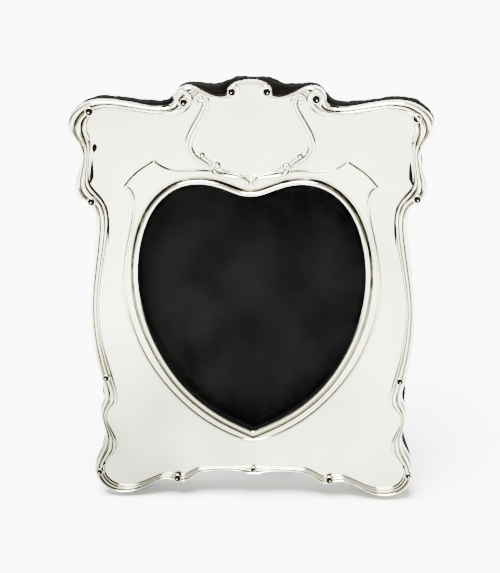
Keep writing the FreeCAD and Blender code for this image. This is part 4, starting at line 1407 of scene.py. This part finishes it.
@dataclass
class ScrewSlots:
    """Dark strips of painted shade laid as the driver slots in the heads of the button screws and of the
    hinge's fixed leaf.
    """

    finishes: Finishes
    button_reach: float = 1.9
    leaf_reach: float = 1.25
    half_width: float = 0.34
    sunk: float = 0.15
    shown: float = 0.04
    ray_depth: float = 80.0
    leaf_length: float = 13.0
    leaf_share: float = 0.66
    leaf_across: tuple[float, ...] = (-10.0, 0.0, 10.0)
    turns: tuple[float, ...] = (0.4, 1.2, -0.7, 0.9)

    LENGTH_SHARES = (-1.0, -0.5, 0.0, 0.5, 1.0)

    def heads(self, node: str) -> BVHTree:
        """Lay the screws of a node back on the face, ready for rays.

        Args:
            node: the node's name.

        Returns:
            The tree of their faces.
        """
        bm = node_mesh(node)
        bmesh.ops.transform(bm, matrix=PLANE.matrix.inverted(), verts=bm.verts)
        tree = BVHTree.FromBMesh(bm)
        bm.free()
        return tree

    def cut(self, bm: Mesh, tree: BVHTree, spot: Vector, reach: float, turn: float) -> None:
        """Lay one slot across the head that a ray from behind meets first.

        Args:
            bm: the mesh that takes the slot.
            tree: the screws.
            spot: the screw's place on the face, in millimetres.
            reach: half the slot's length.
            turn: the slot's turn, in radians.
        """
        along = Vector((math.cos(turn), math.sin(turn), 0))
        across = Vector((-along.y, along.x, 0)) * self.half_width
        inner, outer = Vector((0, 0, self.sunk)), Vector((0, 0, -self.shown))
        rings = []
        for share in self.LENGTH_SHARES:
            point = spot + along * (reach * share)
            hit = tree.ray_cast(Vector((point.x, point.y, -self.ray_depth)) * MM, Vector((0, 0, 1)))
            if hit[0]:
                point.z = hit[0].z / MM
                rings.append([point - across + inner, point + across + inner, point + across + outer,
                              point - across + outer])
        tube(bm, rings)

    def build(self) -> None:
        """Lay painted shade strips as the slots of the seven screws whose heads show."""
        bm = fresh_mesh()
        pivots = [joint for joint in frame["record"]["behaviour"]["joints"]
                  if joint["name"].startswith("turn_button")]
        back = PLANE.matrix.inverted()
        buttons = self.heads("turn_button_screws")
        for joint, turn in zip(pivots, self.turns):
            self.cut(bm, buttons, back @ Vector(joint["pos_m"]) / MM, self.button_reach, turn)
        leaf = self.heads("hinge_fixed_screws")
        leaf_up = SIZES.hinge_up + self.leaf_share * self.leaf_length
        for across, turn in zip(self.leaf_across, self.turns):
            self.cut(bm, leaf, Vector((across, leaf_up, 0)), self.leaf_reach, turn)
        # The slots are dark strips of painted shade
        stand_up(bm, "screw_slots", Body.FRAME, self.finishes.painted_shade)


class CarriedNodes:
    """CAD nodes whose shape is right, and which get their finish here."""

    def __init__(self, finishes: Finishes) -> None:
        """Keep the finishes by slot."""
        self.by_slot = {slot: getattr(finishes, slot.value) for slot in Slot}

    def dress(self) -> None:
        """Give every node the finish of its slot."""
        for part in frame["record"]["subparts"]:
            mesh = frame["nodes"][part["node"]].data
            mesh.materials.clear()
            mesh.materials.append(self.by_slot[Slot(part["material_slot"])])


@dataclass
class Studio:
    """The floor, the lights and the camera."""

    finishes: Finishes
    floor_size: float = 12.0
    distance: float = 1.2
    lens: float = 150.0
    sensor: float = 36.0
    clip: tuple[float, float] = (0.05, 60.0)
    face_elevation: float = 16.0
    face_azimuth: float = 4.0
    roll: float = 0.6
    photo_size: tuple[int, int] = (500, 573)
    aim_pixel: tuple[float, float] = (251.8, 291.0)
    aim_up: float = 108.5
    room_level: float = 5.0
    room_tint: Colour = (1.0, 1.0, 0.985)
    room_stops: tuple[float, ...] = (0.00, 0.06, 0.11, 0.58, 0.70, 0.80, 1.0)
    room_levels: tuple[float, ...] = (1.0, 1.0, 0.03, 0.02, 0.6, 0.8, 0.8)
    overhead_level: float = 30.0
    overhead_angle: float = 40.0
    overhead_from: tuple[float, float, float] = (-0.15, -0.05, 1.0)

    def floor(self) -> None:
        """Lay a wide plain floor."""
        bm = bmesh.new()
        bmesh.ops.create_grid(bm, x_segments=1, y_segments=1, size=self.floor_size)
        mesh = bpy.data.meshes.new("floor")
        bm.to_mesh(mesh)
        bm.free()
        mesh.materials.append(self.finishes.floor)
        place("floor", mesh)

    def camera(self) -> None:
        """Place the camera as the photograph's was, from the face's own plane."""
        elevation = math.radians(self.face_elevation)
        azimuth = math.radians(self.face_azimuth)
        direction = Vector((math.sin(azimuth) * math.cos(elevation), math.sin(elevation),
                            math.cos(azimuth) * math.cos(elevation)))
        turn = PLANE.matrix.to_3x3()
        back = (turn @ direction).normalized()
        up = (turn @ Vector((0, 1, 0))).normalized()
        right = up.cross(back).normalized()
        up = back.cross(right).normalized()
        spin = Matrix.Rotation(math.radians(-self.roll), 3, back)
        right, up = spin @ right, spin @ up
        width, height = self.photo_size
        per_pixel = self.sensor / self.lens * self.distance / max(width, height)
        shift_x = (width / 2 - self.aim_pixel[0]) * per_pixel
        shift_y = (self.aim_pixel[1] - height / 2) * per_pixel
        target = PLANE.at(0.0, self.aim_up) + right * shift_x + up * shift_y
        data = bpy.data.cameras.new("camera")
        data.lens = self.lens
        data.sensor_width = self.sensor
        data.clip_start, data.clip_end = self.clip
        camera = place("camera", data)
        camera.matrix_world = Matrix.Translation(target + back * self.distance) @ Matrix(
            (right, up, back)).transposed().to_4x4()
        bpy.context.scene.camera = camera

    def sky(self) -> None:
        """Light the room from the camera's side and from the far side, and keep its middle dim."""
        world = bpy.data.worlds.new("room")
        graph = NodeGraph(world)
        where = graph.add("TexCoord", {}).outputs["Generated"]
        depth = graph.add("SeparateXYZ", {"Vector": where}).outputs["Y"]
        colours = tuple(tuple(level * part for part in self.room_tint) for level in self.room_levels)
        room = graph.ramp(graph.spread(depth, 0.0, 1.0, start=-1.0), self.room_stops, colours)
        graph.feed(graph.nodes["Background"], {"Color": room, "Strength": self.room_level})
        bpy.context.scene.world = world

    def overhead(self) -> None:
        """Hang a very soft light straight above, a little to the left."""
        data = bpy.data.lights.new("overhead", "SUN")
        data.energy = self.overhead_level
        data.angle = math.radians(self.overhead_angle)
        light = place("overhead", data)
        light.rotation_mode = "QUATERNION"
        light.rotation_quaternion = Vector(self.overhead_from).to_track_quat("Z", "Y")

    def build(self) -> None:
        """Set up the whole studio."""
        self.floor()
        self.sky()
        self.overhead()
        self.camera()


def main() -> None:
    """Build the frame's looks piece by piece."""
    logging.basicConfig(level=logging.INFO, format="%(name)s %(message)s")
    finishes = Finishes()
    CarriedNodes(finishes).dress()
    facing = SilverFacing(finishes)
    facing.build()
    Scrollwork(finishes, facing).build()
    VelvetBoard(finishes).build()
    SoftPieces(finishes).build()
    ScrewSlots(finishes).build()
    Studio(finishes).build()


if __name__ == "__main__":
    main()
